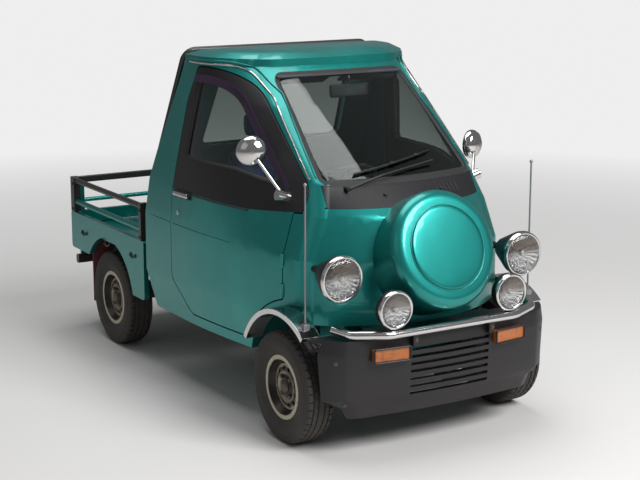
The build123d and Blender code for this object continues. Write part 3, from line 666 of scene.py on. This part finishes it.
# columns: distance from the tyre's middle plane, radius; from the bead to the middle of the tread
half_tyre = [
    (-0.053, 0.129), (-0.054, 0.14), (-0.057, 0.147), (-0.0625, 0.158), (-0.0665, 0.17),
    (-0.0672, 0.1712), (-0.068, 0.1722), (-0.0697, 0.185), (-0.07, 0.198), (-0.0693, 0.212),
    (-0.07, 0.213), (-0.0696, 0.215), (-0.0683, 0.2165), (-0.0668, 0.229), (-0.064, 0.239),
    (-0.06, 0.2455), (-0.054, 0.2485), (-0.0435, 0.2495), (-0.0425, 0.243), (-0.0375, 0.243),
    (-0.0365, 0.2497), (-0.019, 0.25), (-0.0182, 0.2432), (-0.0132, 0.2432), (-0.0124, 0.25),
    (0.0, 0.25),
]
shoulder_rows = range(14, 18)
sipe_rows = (20, 21, 24)
slot_mouth = 0.2375
slot_floor = 0.2425
sipe_depth = 0.004
pitches = 44
# share of a pitch at each cut of the tread
pitch_stops = (0.0, 0.02, 0.17, 0.19, 0.55, 0.6)
slot_stops = (1, 2)
sipe_stop = 5


def make_tyre(corner):
    """Tyre with shoulder blocks, grooves, sipes and sidewall rings."""
    rows = half_tyre + [(-x, r) for x, r in half_tyre[-2::-1]]
    count = len(rows)
    verts = []
    for pitch in range(pitches):
        for stop, share in enumerate(pitch_stops):
            a = 2 * pi * (pitch + share) / pitches
            for i, (x, r) in enumerate(rows):
                row = min(i, count - 1 - i)
                if stop in slot_stops and row in shoulder_rows:
                    r = min(r, slot_mouth if row == shoulder_rows[0] else slot_floor)
                if stop == sipe_stop and row in sipe_rows:
                    r -= sipe_depth
                verts.append(wheel_centres[corner] + Vector((x, r * cos(a), r * sin(a))))
    faces = ring_faces(pitches * len(pitch_stops), count)
    tyre = piece(f"tyre_tread_{corner}", [(verts, faces)], "tyre_rubber", f"wheel_{corner}", 32.0)
    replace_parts(tyre, f"tyre_{corner}")


def make_wheel_trim(corner):
    """Nuts, hub cap and valve of one wheel, seated on its rim."""
    centre = wheel_centres[corner]
    side = 1 if centre.x > 0 else -1
    body = f"wheel_{corner}"
    nut_circle = 0.0545
    hub_ring = 0.036
    valve_height = 0.112

    def on_rim(y, z):
        return hit([f"rim_{corner}"], (side, centre.y + y, centre.z + z), (-side, 0, 0))[0]

    nuts = []
    for k in range(4):
        a = pi / 4 + k * pi / 2
        place = on_rim(nut_circle * cos(a), nut_circle * sin(a))
        nuts += hexagon_nut(placed(place, (side, 0, 0), a), 0.0095, 0.013)
    piece(f"wheel_nuts_{corner}", nuts, "dark_steel", body)
    cap_seat = at((on_rim(0, hub_ring).x, centre.y, centre.z)) @ turned(side * 90, "Y")
    cap = [(-0.004, 0.031), (0.003, 0.031), (0.006, 0.029), (0.01, 0.02), (0.012, 0.01), (0.0125, 0)]
    piece(f"hub_cap_{corner}", [lathe(cap, 32, cap_seat)], "dark_steel", body)
    valve = [(0, 0.005), (0.012, 0.005), (0.014, 0.0035), (0.024, 0.0035), (0.025, 0)]
    valve_seat = placed(on_rim(0, valve_height), (side, 0, 0))
    piece(f"tyre_valve_{corner}", [lathe(valve, 12, valve_seat)], "rubber", body)


for corner in wheel_centres:
    make_tyre(corner)
    make_wheel_trim(corner)


# Head and fog lamps

def make_lamps():
    """Reflectors, bulbs, lens domes and plated bezels of the four front lamps."""
    # columns: kind of lamp, x, height, y of the rim, lens radius, dome height
    rows = [
        ("head", 0.478, head_height, -1.24, 0.0907, 0.0215),
        ("fog", 0.302, fog_height, -1.384, 0.0737, 0.007),
    ]
    lens_wall = 0.0025
    bulb = [(-0.012, 0.012), (-0.004, 0.012), (-0.001, 0.01), (0.0, 0)]
    bezels = []
    bulbs = []
    domes = []
    for kind, x, z, rim_y, r, dome in rows:
        outer = r + 0.0065
        bezel = [
            (-0.016, outer + 0.0035), (-0.002, outer + 0.003), (0.003, outer), (0.0035, r + 0.002),
            (0.001, r - 0.005), (-0.003, r - 0.006), (-0.01, r - 0.004), (-0.016, outer + 0.0035),
        ]
        bowl = [
            (-0.001, r - 0.001), (-0.0045, r * 0.86), (-0.008, r * 0.66), (-0.011, r * 0.44),
            (-0.0125, r * 0.25), (-0.013, 0),
        ]
        glass = [(0.0005, r), (dome * 0.35, r * 0.93), (dome * 0.68, r * 0.72), (dome * 0.9, r * 0.42)]
        glass.append((dome, 0))
        inner = [(h - lens_wall, q * 0.985) for h, q in glass]
        bowls = []
        for side in (-1, 1):
            seat = at((side * x, rim_y, z)) @ turned(90, "X")
            bezels.append(lathe(bezel, 72, seat))
            bowls.append(lathe(bowl, 144, seat, 24, 0.035))
            bulbs.append(lathe(bulb, 24, seat))
            domes.append(lathe(glass + inner[::-1] + [(0.0005, r)], 64, seat))
        piece(f"{kind}_reflectors", bowls, f"{kind}_reflector", smooth=60.0)
    piece("lamp_bezels", bezels, "bright_metal", smooth=60.0)
    piece("lamp_bulbs", bulbs, "pale_bulb")
    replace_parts(piece("lamp_domes", domes, "lamp_glass", smooth=80.0), "lamp_lenses")


make_lamps()


# Spare wheel housing and cover

def make_nose_housing():
    """Round housing skin up over the cowl's edge, and the domed cover with its groove."""
    centre = Vector((0, -1.322, 0.874))
    lean = radians(21)
    across = Vector((1, 0, 0))
    up = Vector((0, sin(lean), cos(lean)))
    out = Vector((0, -cos(lean), sin(lean)))
    radius = 0.262
    rounding = 0.052
    flat_radius = radius - rounding
    seat_radius = 0.165
    wall = 0.005
    proud = 0.0001
    least_depth = 0.056
    sunk = 0.006
    steps = 96

    def rim(reach, eighths):
        angles = [pi / 16 * k for k in eighths]
        return [(-rounding + reach * cos(t), flat_radius + reach * sin(t)) for t in angles]

    verts = []
    for i in range(steps):
        a = 2 * pi * i / steps
        away = across * cos(a) + up * sin(a)
        start = centre + away * (radius + 0.0055) + out * 0.3
        place, _ = hit(["front_panel", "cowl", "cab_glass", "windscreen_pillars"], start, -out)
        deepest = -0.06
        if place is not None:
            deepest = min(-least_depth, (place - centre).dot(out) - sunk)
        rows = [(proud, seat_radius), (proud, flat_radius), *rim(rounding + proud, range(1, 9))]
        rows += [(deepest, radius + proud), (deepest, radius - wall)]
        rows += [*rim(rounding - wall, range(8, -1, -2)), (-wall, seat_radius)]
        verts += [centre + away * r + out * h for h, r in rows]
    piece("spare_housing", [(verts, ring_faces(steps, len(rows)))], "body_paint", smooth=50.0)
    seat = Matrix((across, up, out)).transposed().to_4x4()
    seat.translation = centre
    dome = [
        (0.0003, 0), (0.0003, 0.18), (0.0025, 0.1812), (0.005, 0.1802), (0.0066, 0.177),
        (0.0078, 0.165), (0.0088, 0.13), (0.0095, 0.09), (0.0099, 0.045), (0.01, 0),
    ]
    bead = [
        (0.0005, 0.1838), (0.0022, 0.1842), (0.0034, 0.1858), (0.0038, 0.1872), (0.0034, 0.1884),
        (0.002, 0.1895), (0.0005, 0.1898), (0.0005, 0.1838),
    ]
    cover = [lathe(dome, steps, seat), lathe(bead, steps, seat)]
    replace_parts(piece("spare_cover_dome", cover, "body_paint", smooth=50.0), "spare_cover")


def make_jamb_fill():
    """Small corner panel behind the foot of each door, over the sill."""
    foot = 0.4122
    sill_height = 0.405
    quarter_y = 0.03
    depth = 0.03
    corner_x = from_right(["cab_sides"], quarter_y, sill_height)[0].x
    verts = []
    for y, z in ((-0.084, foot), (0.0225, foot), (0.0225, 0.494)):
        sill_x = from_right(["cab_sides"], y, sill_height)[0].x
        quarter_x = from_right(["cab_sides"], quarter_y, z + 0.004)[0].x
        verts.append(Vector((quarter_x + sill_x - corner_x + 0.0003, y, z)))
    verts += [v + Vector((depth, 0, 0)) for v in verts]
    faces = [(0, 1, 2), (5, 4, 3), (0, 3, 4, 1), (1, 4, 5, 2), (2, 5, 3, 0)]
    piece("door_jamb_fill", both_sides([(verts, faces)]), "body_paint")


make_nose_housing()
make_jamb_fill()


# Window seals, drip rails and visors

# columns of the window lines: across or along, height, corner radius
door_window = [
    (-0.034, 1.138, 0.025), (-0.096, 1.52, 0.02), (-0.3, 1.52, 0.45), (-0.79, 1.094, 0.03),
    (-0.452, 1.138, 0.3),
]
windscreen = [(-0.392, 1.118, 0.03), (0.392, 1.118, 0.03), (0.342, 1.552, 0.045), (-0.342, 1.552, 0.045)]
rear_window = [(-0.4, 1.14, 0.04), (0.4, 1.14, 0.04), (0.37, 1.47, 0.04), (-0.37, 1.47, 0.04)]


def moulding(outer, inner, thick):
    """Closed rubber moulding between a line on the panel and a line on the glass."""
    verts = []
    for i, (a, b) in enumerate(zip(outer, inner)):
        out = run_at(outer, i, True).cross(b - a).normalized() * thick
        verts += [a, a.lerp(b, 0.35) + out, a.lerp(b, 0.75) + out, b, a.lerp(b, 0.5) - out]
    return verts, ring_faces(len(outer), 5)


def seal_round(corners, cast, panels, panes, over, within):
    """Moulding round one opening, over its panels and within its panes; cast finds both."""
    line = divided(rounded_line(corners, 8, True), closed=True)
    outer = []
    inner = []
    for p, q in zip(grown_line(line, -over, True), grown_line(line, within, True)):
        a, first = cast(panels, *p)
        b, second = cast(panes, *q)
        if a is not None and b is not None:
            outer.append(a + first * 0.001)
            inner.append(b + second * 0.0012)
    return moulding(outer, inner, 0.003)


def make_seals():
    """Rubber mouldings round the windscreen, rear window and door windows."""
    panels = ["windscreen_pillars", "roof", "cowl", "fenders"]
    ring = seal_round(windscreen, from_front, panels, ["cab_glass"], 0.007, 0.016)
    piece("windscreen_seal", [ring], "rubber", smooth=60.0)
    ring = seal_round(rear_window, from_behind, ["cab_back"], ["cab_glass"], 0.007, 0.012)
    piece("rear_window_seal", [ring], "rubber", smooth=60.0)
    ring = seal_round(door_window, from_right, ["door_frame_right"], ["door_glass_right"], 0.004, 0.009)
    on_doors([("door_window_seal", [ring], "rubber")], 60.0)


def make_visors():
    """Smoked rain visors over the door windows, and the gutter's plated bead and painted lip."""
    top = rounded_line([(-0.058, 1.528, 0), (-0.3, 1.528, 0.45), (-0.8, 1.093, 0)], 14)
    top = divided(top)
    first = lifted(from_right, ["door_frame_right"], grown_line(top, -0.006), 0.004)
    second = []
    for (y, z), base in zip(grown_line(top, 0.03), first):
        second.append(Vector((base.x - 0.01 + (z - base.z) * 0.12, y, z)))
    on_doors([("rain_visor", [band(first, second, 0.0025)], "visor_plastic")])
    gutter = [(0.02, 1.586, 0), (-0.29, 1.586, 0.3), (-0.52, 1.45, 0.5), (-0.88, 1.135, 0)]
    path = divided(rounded_line(gutter, 10))
    skins = ["windscreen_pillars", "roof", "cab_sides", "door_frame_right"]
    bead = tube(lifted(from_right, skins, path, 0.003), 0.0048)
    lip = tube(lifted(from_right, skins, grown_line(path, -0.016), 0.002), 0.004)
    piece("gutter_beads", both_sides([bead]), "bright_metal")
    piece("gutter_lips", both_sides([lip]), "body_paint")


make_seals()
make_visors()


# Door handles, locks, pressed lines and mirrors

def make_door_fittings():
    """Handle, key lock, belt strip and pressed line of each door, and the line on the rear quarter."""
    panel = ["door_right"]
    ends = lifted(from_right, panel, [(0.04, 0.958), (-0.12, 0.962)], 0.01)
    middle = (ends[0] + ends[1]) / 2
    _, normal = from_right(panel, middle.y, middle.z)
    run = (ends[1] - ends[0]).normalized()
    seat = at(middle) @ Matrix((run, normal.cross(run), normal)).transposed().to_4x4()
    grip = block((0.15, 0.022, 0.012), 0.005, seat @ at((0, 0, 0.004)))
    cup = block((0.168, 0.036, 0.01), 0.004, seat @ at((0, 0, -0.006)))
    foot = (0.018, 0.018, 0.016)
    feet = [block(foot, 0.003, seat @ at((x, 0, -0.003))) for x in (-0.06, 0.06)]
    barrel = [(-0.002, 0.012), (0.003, 0.012), (0.004, 0.01), (0.004, 0.0075), (0.002, 0.007), (0.002, 0)]
    lock = lathe(barrel, 28, placed(*from_right(panel, 0.001, 0.868)))

    def pressed(names, line, step, lift, radius, flat):
        return tube(lifted(from_right, names, divided(line, step), lift), radius, flat=flat)

    crease_height = 0.806
    strip = pressed(panel, [(0.06, 0.972), (-0.595, 0.972)], 0.05, 0.001, 0.0055, 0.7)
    crease = pressed(panel, [(0.05, crease_height), (-0.48, crease_height)], 0.04, -0.0012, 0.005, 0.6)
    rear_line = [(0.3, crease_height), (0.095, crease_height)]
    rear = pressed(["cab_sides"], rear_line, 0.04, -0.0012, 0.005, 0.6)
    on_doors([
        ("door_handle_cup", [cup], "black_panel"),
        ("door_handle_grip", [grip, *feet], "bright_metal"),
        ("door_key_lock", [lock], "bright_metal"),
        ("door_belt_strip", [strip], "rubber"),
        ("door_pressed_line", [crease], "body_paint"),
    ])
    piece("quarter_pressed_line", both_sides([rear]), "body_paint")


def make_mirrors():
    """Glass faces and plated rims of the door mirrors."""
    face = [(0.0142, 0), (0.015, 0.04), (0.0145, 0.0575), (0.012, 0.058), (0.012, 0)]
    rim = [
        (0.012, 0.0575), (0.0165, 0.0585), (0.0165, 0.0655), (0.01, 0.0685), (0.004, 0.0685),
        (0.012, 0.0575),
    ]
    # columns: side of the vehicle, sign of x, height
    for side, sign, z in (("right", -1, 1.25), ("left", 1, 1.19)):
        seat = at((0.6 * sign, -0.672, z)) @ turned(26 * sign, "Z") @ turned(-90, "X")
        piece(f"mirror_face_{side}", [lathe(face, 56, seat)], "mirror_face", f"door_{side}")
        piece(f"mirror_rim_{side}", [lathe(rim, 56, seat)], "bright_metal", f"door_{side}", 60.0)


def make_header_fittings():
    """Cabin mirror and sun visors over the windscreen."""
    mirror_x = 0.03
    stem = tube([(mirror_x, -0.462, 1.53), (mirror_x, -0.47, 1.5), (mirror_x, -0.478, 1.47)], 0.007, 10)
    head = at((mirror_x, -0.47, 1.462)) @ turned(-8, "X")
    case = block((0.21, 0.022, 0.062), 0.01, head, 4)
    piece("cabin_mirror_case", [stem, case], "dash_plastic")
    glass = block((0.196, 0.003, 0.05), 0.001, head @ at((0, 0.0115, 0)), 1)
    piece("cabin_mirror_face", [glass], "mirror_face")
    shades = block_pair((0.3, 0.11, 0.016), 0.007, (0.19, -0.395, 1.52), turned(-24, "X"))
    piece("sun_visors", shades, "piping")


make_door_fittings()
make_mirrors()
make_header_fittings()


# Wiper blade, washer jets and cowl vents

def make_cowl_fittings():
    """Blade and its carriers, washer jets and the louvres of the cowl."""
    skins = ["cab_glass", "windscreen_pillars"]
    line = divided([(-0.235, 1.148), (0.215, 1.21)])
    blade = tube(lifted(from_front, skins, line, 0.004), 0.0035, 6)
    back = lifted(from_front, skins, line, 0.012)
    parts = [blade, tube(back, 0.0045, flat=0.6)]
    for share in (0.15, 0.5, 0.85):
        carrier = placed(back[int(share * (len(line) - 1))], (0, -0.6, 0.8))
        parts.append(block((0.02, 0.014, 0.01), 0.003, carrier))
    piece("wiper_blade", parts, "black_panel")
    jet = [(-0.002, 0.009), (0.005, 0.0085), (0.009, 0.005), (0.01, 0)]
    jets = [lathe(jet, 20, placed(*from_front(["cowl"], x, 1.072))) for x in (-0.14, 0.16)]
    piece("washer_jets", jets, "black_panel")
    vents = []
    for i in range(9):
        x = 0.06 + 0.025 * i
        slope = lifted(from_front, ["cowl"], [(x, z) for z in (1.05, 1.065, 1.08, 1.095)], 0.0015)
        if len(slope) > 1:
            vents.append(tube(slope, 0.004, 6, flat=0.5))
    piece("cowl_louvres", vents, "black_panel")


make_cowl_fittings()


# Bed and tailgate fittings

def make_bed_fittings():
    """Ribs of the deck, rope hooks, gate latches and bolts of the rails."""
    rib = (0.06, 0.88, 0.006)
    ribs = [block(rib, 0.0028, at((-0.52 + 0.13 * i, 0.89, 0.5708)), 2) for i in range(9)]
    piece("deck_ribs", ribs, "body_paint")
    # columns: x, distance from the hook's middle, height
    bend = [
        (-0.64, -0.03, 0.56), (-0.6455, -0.03, 0.545), (-0.6455, 0, 0.536), (-0.6455, 0.03, 0.545),
        (-0.64, 0.03, 0.56),
    ]
    hooks = [tube([(x, middle + y, z) for x, y, z in bend], 0.0045) for middle in (0.55, 0.88, 1.2)]
    piece("rope_hooks", both_sides(hooks), "black_paint")
    bar = tube([(-0.628, 1.372, 0.77), (-0.612, 1.3905, 0.778), (-0.585, 1.3915, 0.778)], 0.005)
    plate = block((0.014, 0.024, 0.06), 0.004, at((-0.63, 1.372, 0.76)))
    piece("gate_latches", both_sides([plate, bar]), "bright_metal")
    bolts = []
    for y in (0.457, 1.362):
        for z in (0.66, 0.8):
            for side in (-1, 1):
                place, normal = hit(["bed_rack"], (side * 1.2, y, z), (-side, 0, 0))
                if place is not None:
                    bolts += hexagon_nut(placed(place, normal), 0.007, 0.006)
    piece("rack_bolts", bolts, "dark_steel")


def make_tail():
    """Tail lamps with red, clear and amber lenses in a black frame."""
    lamp_height = 0.46
    # columns: name, finish, x, y, size, edge radius
    rows = [
        ("tail_lens_red", "red_lens", 0.485, 1.364, (0.086, 0.03, 0.056), 0.005),
        ("tail_lens_amber", "amber_lens", 0.581, 1.364, (0.036, 0.03, 0.056), 0.005),
        ("tail_lens_clear", "pale_bulb", 0.5455, 1.364, (0.032, 0.03, 0.056), 0.005),
        ("tail_lamp_frames", "black_panel", 0.52, 1.3545, (0.162, 0.013, 0.062), 0.004),
    ]
    for name, finish, x, y, size, radius in rows:
        piece(name, block_pair(size, radius, (x, y, lamp_height)), finish)
    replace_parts(bpy.data.objects["tail_lens_red"], "tail_lamps")


make_bed_fittings()
make_tail()


# Front skirt and signals

def make_front_fittings():
    """Signal frames, bracket bolts and skirt fasteners."""
    line = rounded_frame(0.086, 0.03, 0.008, 5)
    frames = []
    for side in (-1, 1):
        seat = at((side * 0.312, -1.3745, 0.455)) @ turned(7 * side, "Z")
        frames.append(tube([seat @ Vector((p.x, 0, p.y)) for p in line], 0.0045, closed=True))
    piece("signal_frames", frames, "black_panel")
    bolts = []
    for x in (-0.2, 0.2):
        bolts += hexagon_nut(placed(*from_front(["front_skirt"], x, 0.506)), 0.008, 0.006)
    dome = [(-0.001, 0.01), (0.003, 0.009), (0.005, 0.005), (0.0055, 0)]
    for x, z in ((-0.545, 0.43), (0.545, 0.43), (-0.5, 0.24), (0.5, 0.24)):
        place, normal = from_front(["front_skirt"], x, z)
        if place is not None:
            bolts.append(lathe(dome, 20, placed(place, normal)))
    piece("skirt_fasteners", bolts, "dark_steel")


make_front_fittings()


# Seat pads

def apply_modifiers(obj):
    """Turn the modified shape into the object's own mesh."""
    graph = bpy.context.evaluated_depsgraph_get()
    made = bpy.data.meshes.new_from_object(obj.evaluated_get(graph))
    obj.modifiers.clear()
    obj.data = made


def puff(obj, most):
    """Cloth under light pressure, so that the pad crowns; no point moves far."""
    remesh = obj.modifiers.new("even", "REMESH")
    remesh.mode = "VOXEL"
    remesh.voxel_size = 0.012
    apply_modifiers(obj)
    before = [v.co.copy() for v in obj.data.vertices]
    cloth = obj.modifiers.new("cloth", "CLOTH")
    cloth.settings.use_pressure = True
    cloth.settings.uniform_pressure_force = 4.0
    cloth.settings.effector_weights.gravity = 0.0
    cloth.settings.tension_stiffness = 12.0
    last_step = 18
    for step in range(1, last_step + 1):
        scene.frame_set(step)
    apply_modifiers(obj)
    scene.frame_set(1)
    for vertex, start in zip(obj.data.vertices, before):
        move = vertex.co - start
        if move.length > most:
            vertex.co = start + move.normalized() * most


def make_pad(name, size, matrix, crown, seams):
    """One stuffed pad, crowned, seamed and then placed; seams are (axis, middle, depth, width)."""
    form = bmesh.new()
    bmesh.ops.create_cube(form, size=1.0)
    bmesh.ops.scale(form, vec=size, verts=form.verts)
    bmesh.ops.bevel(form, geom=form.edges[:], offset=0.03, segments=4, profile=0.5, affect="EDGES")
    mesh = bpy.data.meshes.new(name)
    form.to_mesh(mesh)
    form.free()
    obj = bpy.data.objects.new(name, mesh)
    scene.collection.objects.link(obj)
    puff(obj, crown)
    for vertex in obj.data.vertices:
        v = vertex.co
        for axis, middle, depth, width in seams:
            gap = v[axis] - middle
            if v.z > 0 and abs(gap) < width * 3:
                v.z -= depth * exp(-(gap / width) ** 2)
    smooth = obj.modifiers.new("smooth", "SUBSURF")
    smooth.levels = 1
    smooth.render_levels = 1
    obj.data.transform(matrix)
    obj.data.shade_smooth()
    obj.data.materials.clear()
    obj.data.materials.append(materials["seat_cloth"])
    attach(obj, "chassis")
    return obj


def make_seat():
    """Cushion, backrest and headrest as stuffed pads, with posts and piping."""
    seat_x = -0.11
    long_seams = [(0, -0.105, 0.008, 0.006), (0, 0.105, 0.008, 0.006)]
    back_seams = [(1, -0.07, 0.006, 0.006), (1, 0.07, 0.006, 0.006)]
    cushion_seat = at((seat_x, -0.075, 0.661))
    cushion_seams = long_seams + [(1, 0.0, 0.006, 0.006)]
    cushion = make_pad("seat_cushion", (0.41, 0.42, 0.09), cushion_seat, 0.012, cushion_seams)
    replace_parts(cushion, "seat")
    lean = at((seat_x, 0.082, 0.935)) @ turned(-9, "X")
    back_face = lean @ turned(90, "X")
    make_pad("seat_backrest", (0.4, 0.39, 0.086), back_face, 0.012, long_seams + back_seams)
    head = lean @ at((0, -0.012, 0.31)) @ turned(90, "X")
    make_pad("seat_headrest", (0.206, 0.12, 0.062), head, 0.008, [])
    posts = [tube([lean @ Vector((x, 0, z)) for z in (0.195, 0.255)], 0.006, 12) for x in (-0.06, 0.06)]
    piece("headrest_posts", posts, "bright_metal")
    # columns: matrix, half width, half height, height of the piping over the pad's middle
    rows = [(cushion_seat, 0.203, 0.208, 0.034), (back_face, 0.198, 0.193, 0.032)]
    lines = []
    for matrix, half_width, half_height, over in rows:
        ring = rounded_frame(half_width, half_height, 0.035, 6)
        lines.append(tube([matrix @ Vector((p.x, p.y, over)) for p in ring], 0.005, closed=True))
    piece("seat_piping_cords", lines, "piping")


make_seat()


# Inside the cabin

def make_cabin():
    """Instrument hood, gear lever and pedals."""
    hood = block((0.27, 0.12, 0.05), 0.018, at((-0.11, -0.835, 1.062)), 4)
    piece("instrument_hood", [hood], "dash_plastic")
    lever = tube([(0.12, -0.42, 0.42), (0.12, -0.43, 0.6), (0.118, -0.45, 0.76)], 0.008, 12)
    knob_rows = [(0, 0.012), (0.008, 0.022), (0.024, 0.026), (0.04, 0.02), (0.046, 0)]
    knob = lathe(knob_rows, 28, at((0.118, -0.452, 0.75)))
    boot_rows = [
        (0, 0.06), (0.02, 0.055), (0.022, 0.045), (0.045, 0.04), (0.047, 0.03), (0.075, 0.012),
        (0.075, 0),
    ]
    boot = lathe(boot_rows, 28, at((0.12, -0.42, 0.392)))
    piece("gear_lever", [lever, knob, boot], "dash_plastic")
    pedals = []
    for x in (-0.2, -0.11, -0.02):
        seat = at((x, -0.9, 0.5)) @ turned(-35, "X")
        pedals.append(block((0.05, 0.012, 0.06), 0.004, seat))
        pedals.append(tube([(x, -0.905, 0.52), (x, -0.93, 0.66), (x, -0.93, 0.81)], 0.007))
    piece("foot_pedals", pedals, "rubber")


make_cabin()


# Floor, backdrop and light

backdrop = (0.86, 0.86, 0.86, 1.0)


def seen_by_camera(tree):
    """Socket that is 1 where the camera looks straight at the stage."""
    return tree.add("LightPath").outputs["Is Camera Ray"]


def make_floor():
    """Pale floor that fades into the backdrop with distance."""
    half = 30
    mesh = bpy.data.meshes.new("floor")
    corners = [(-half, -half, 0), (half, -half, 0), (half, half, 0), (-half, half, 0)]
    mesh.from_pydata(corners, [], [(0, 1, 2, 3)])
    floor = bpy.data.objects.new("floor", mesh)
    scene.collection.objects.link(floor)
    material, tree, shader = new_material("pale_floor")
    tree.fill(shader, {"Base Color": (0.7, 0.69, 0.68, 1.0), "Roughness": 0.7})
    far = tree.add("Emission", {"Color": backdrop})
    away = tree.vector_math("LENGTH", tree.place())
    fade = tree.add("MapRange", {"Value": away, "From Min": 2.2, "From Max": 7.5}).outputs[0]
    share = tree.math("MULTIPLY", fade, seen_by_camera(tree))
    mix = tree.add("MixShader", {0: share, 1: shader.outputs[0], 2: far.outputs[0]})
    tree.fill(tree.nodes["Material Output"], {"Surface": mix.outputs[0]})
    mesh.materials.append(material)


def make_world():
    """Grey light from all round, and the pale backdrop that the camera sees."""
    world = bpy.data.worlds.new("studio")
    world.use_nodes = True
    tree = Tree(world.node_tree)
    light = tree.fill(tree.nodes["Background"], {"Color": (0.8, 0.81, 0.83, 1.0), "Strength": 0.22})
    shown = tree.add("Background", {"Color": backdrop, "Strength": 1.0})
    mix = tree.add("MixShader", {0: seen_by_camera(tree), 1: light.outputs[0], 2: shown.outputs[0]})
    tree.fill(tree.nodes["World Output"], {"Surface": mix.outputs[0]})
    scene.world = world


def make_lights():
    """Three square studio lights."""
    # columns: name, place, aim, size, power
    rows = [
        ("key", (1.6, -6.0, 5.4), (0.0, -0.4, 0.7), 3.2, 530.0),
        ("fill", (-6.0, -2.5, 4.2), (0.0, 0.0, 0.8), 4.0, 14.0),
        ("top", (0.0, 1.0, 7.0), (0.0, 0.0, 0.6), 5.0, 260.0),
    ]
    for name, place, aim, size, power in rows:
        data = bpy.data.lights.new(name, "AREA")
        data.shape = "SQUARE"
        data.size = size
        data.energy = power
        lamp = bpy.data.objects.new(name, data)
        lamp.location = place
        lamp.rotation_euler = (Vector(aim) - Vector(place)).to_track_quat("-Z", "Y").to_euler()
        scene.collection.objects.link(lamp)


make_floor()
make_world()
make_lights()
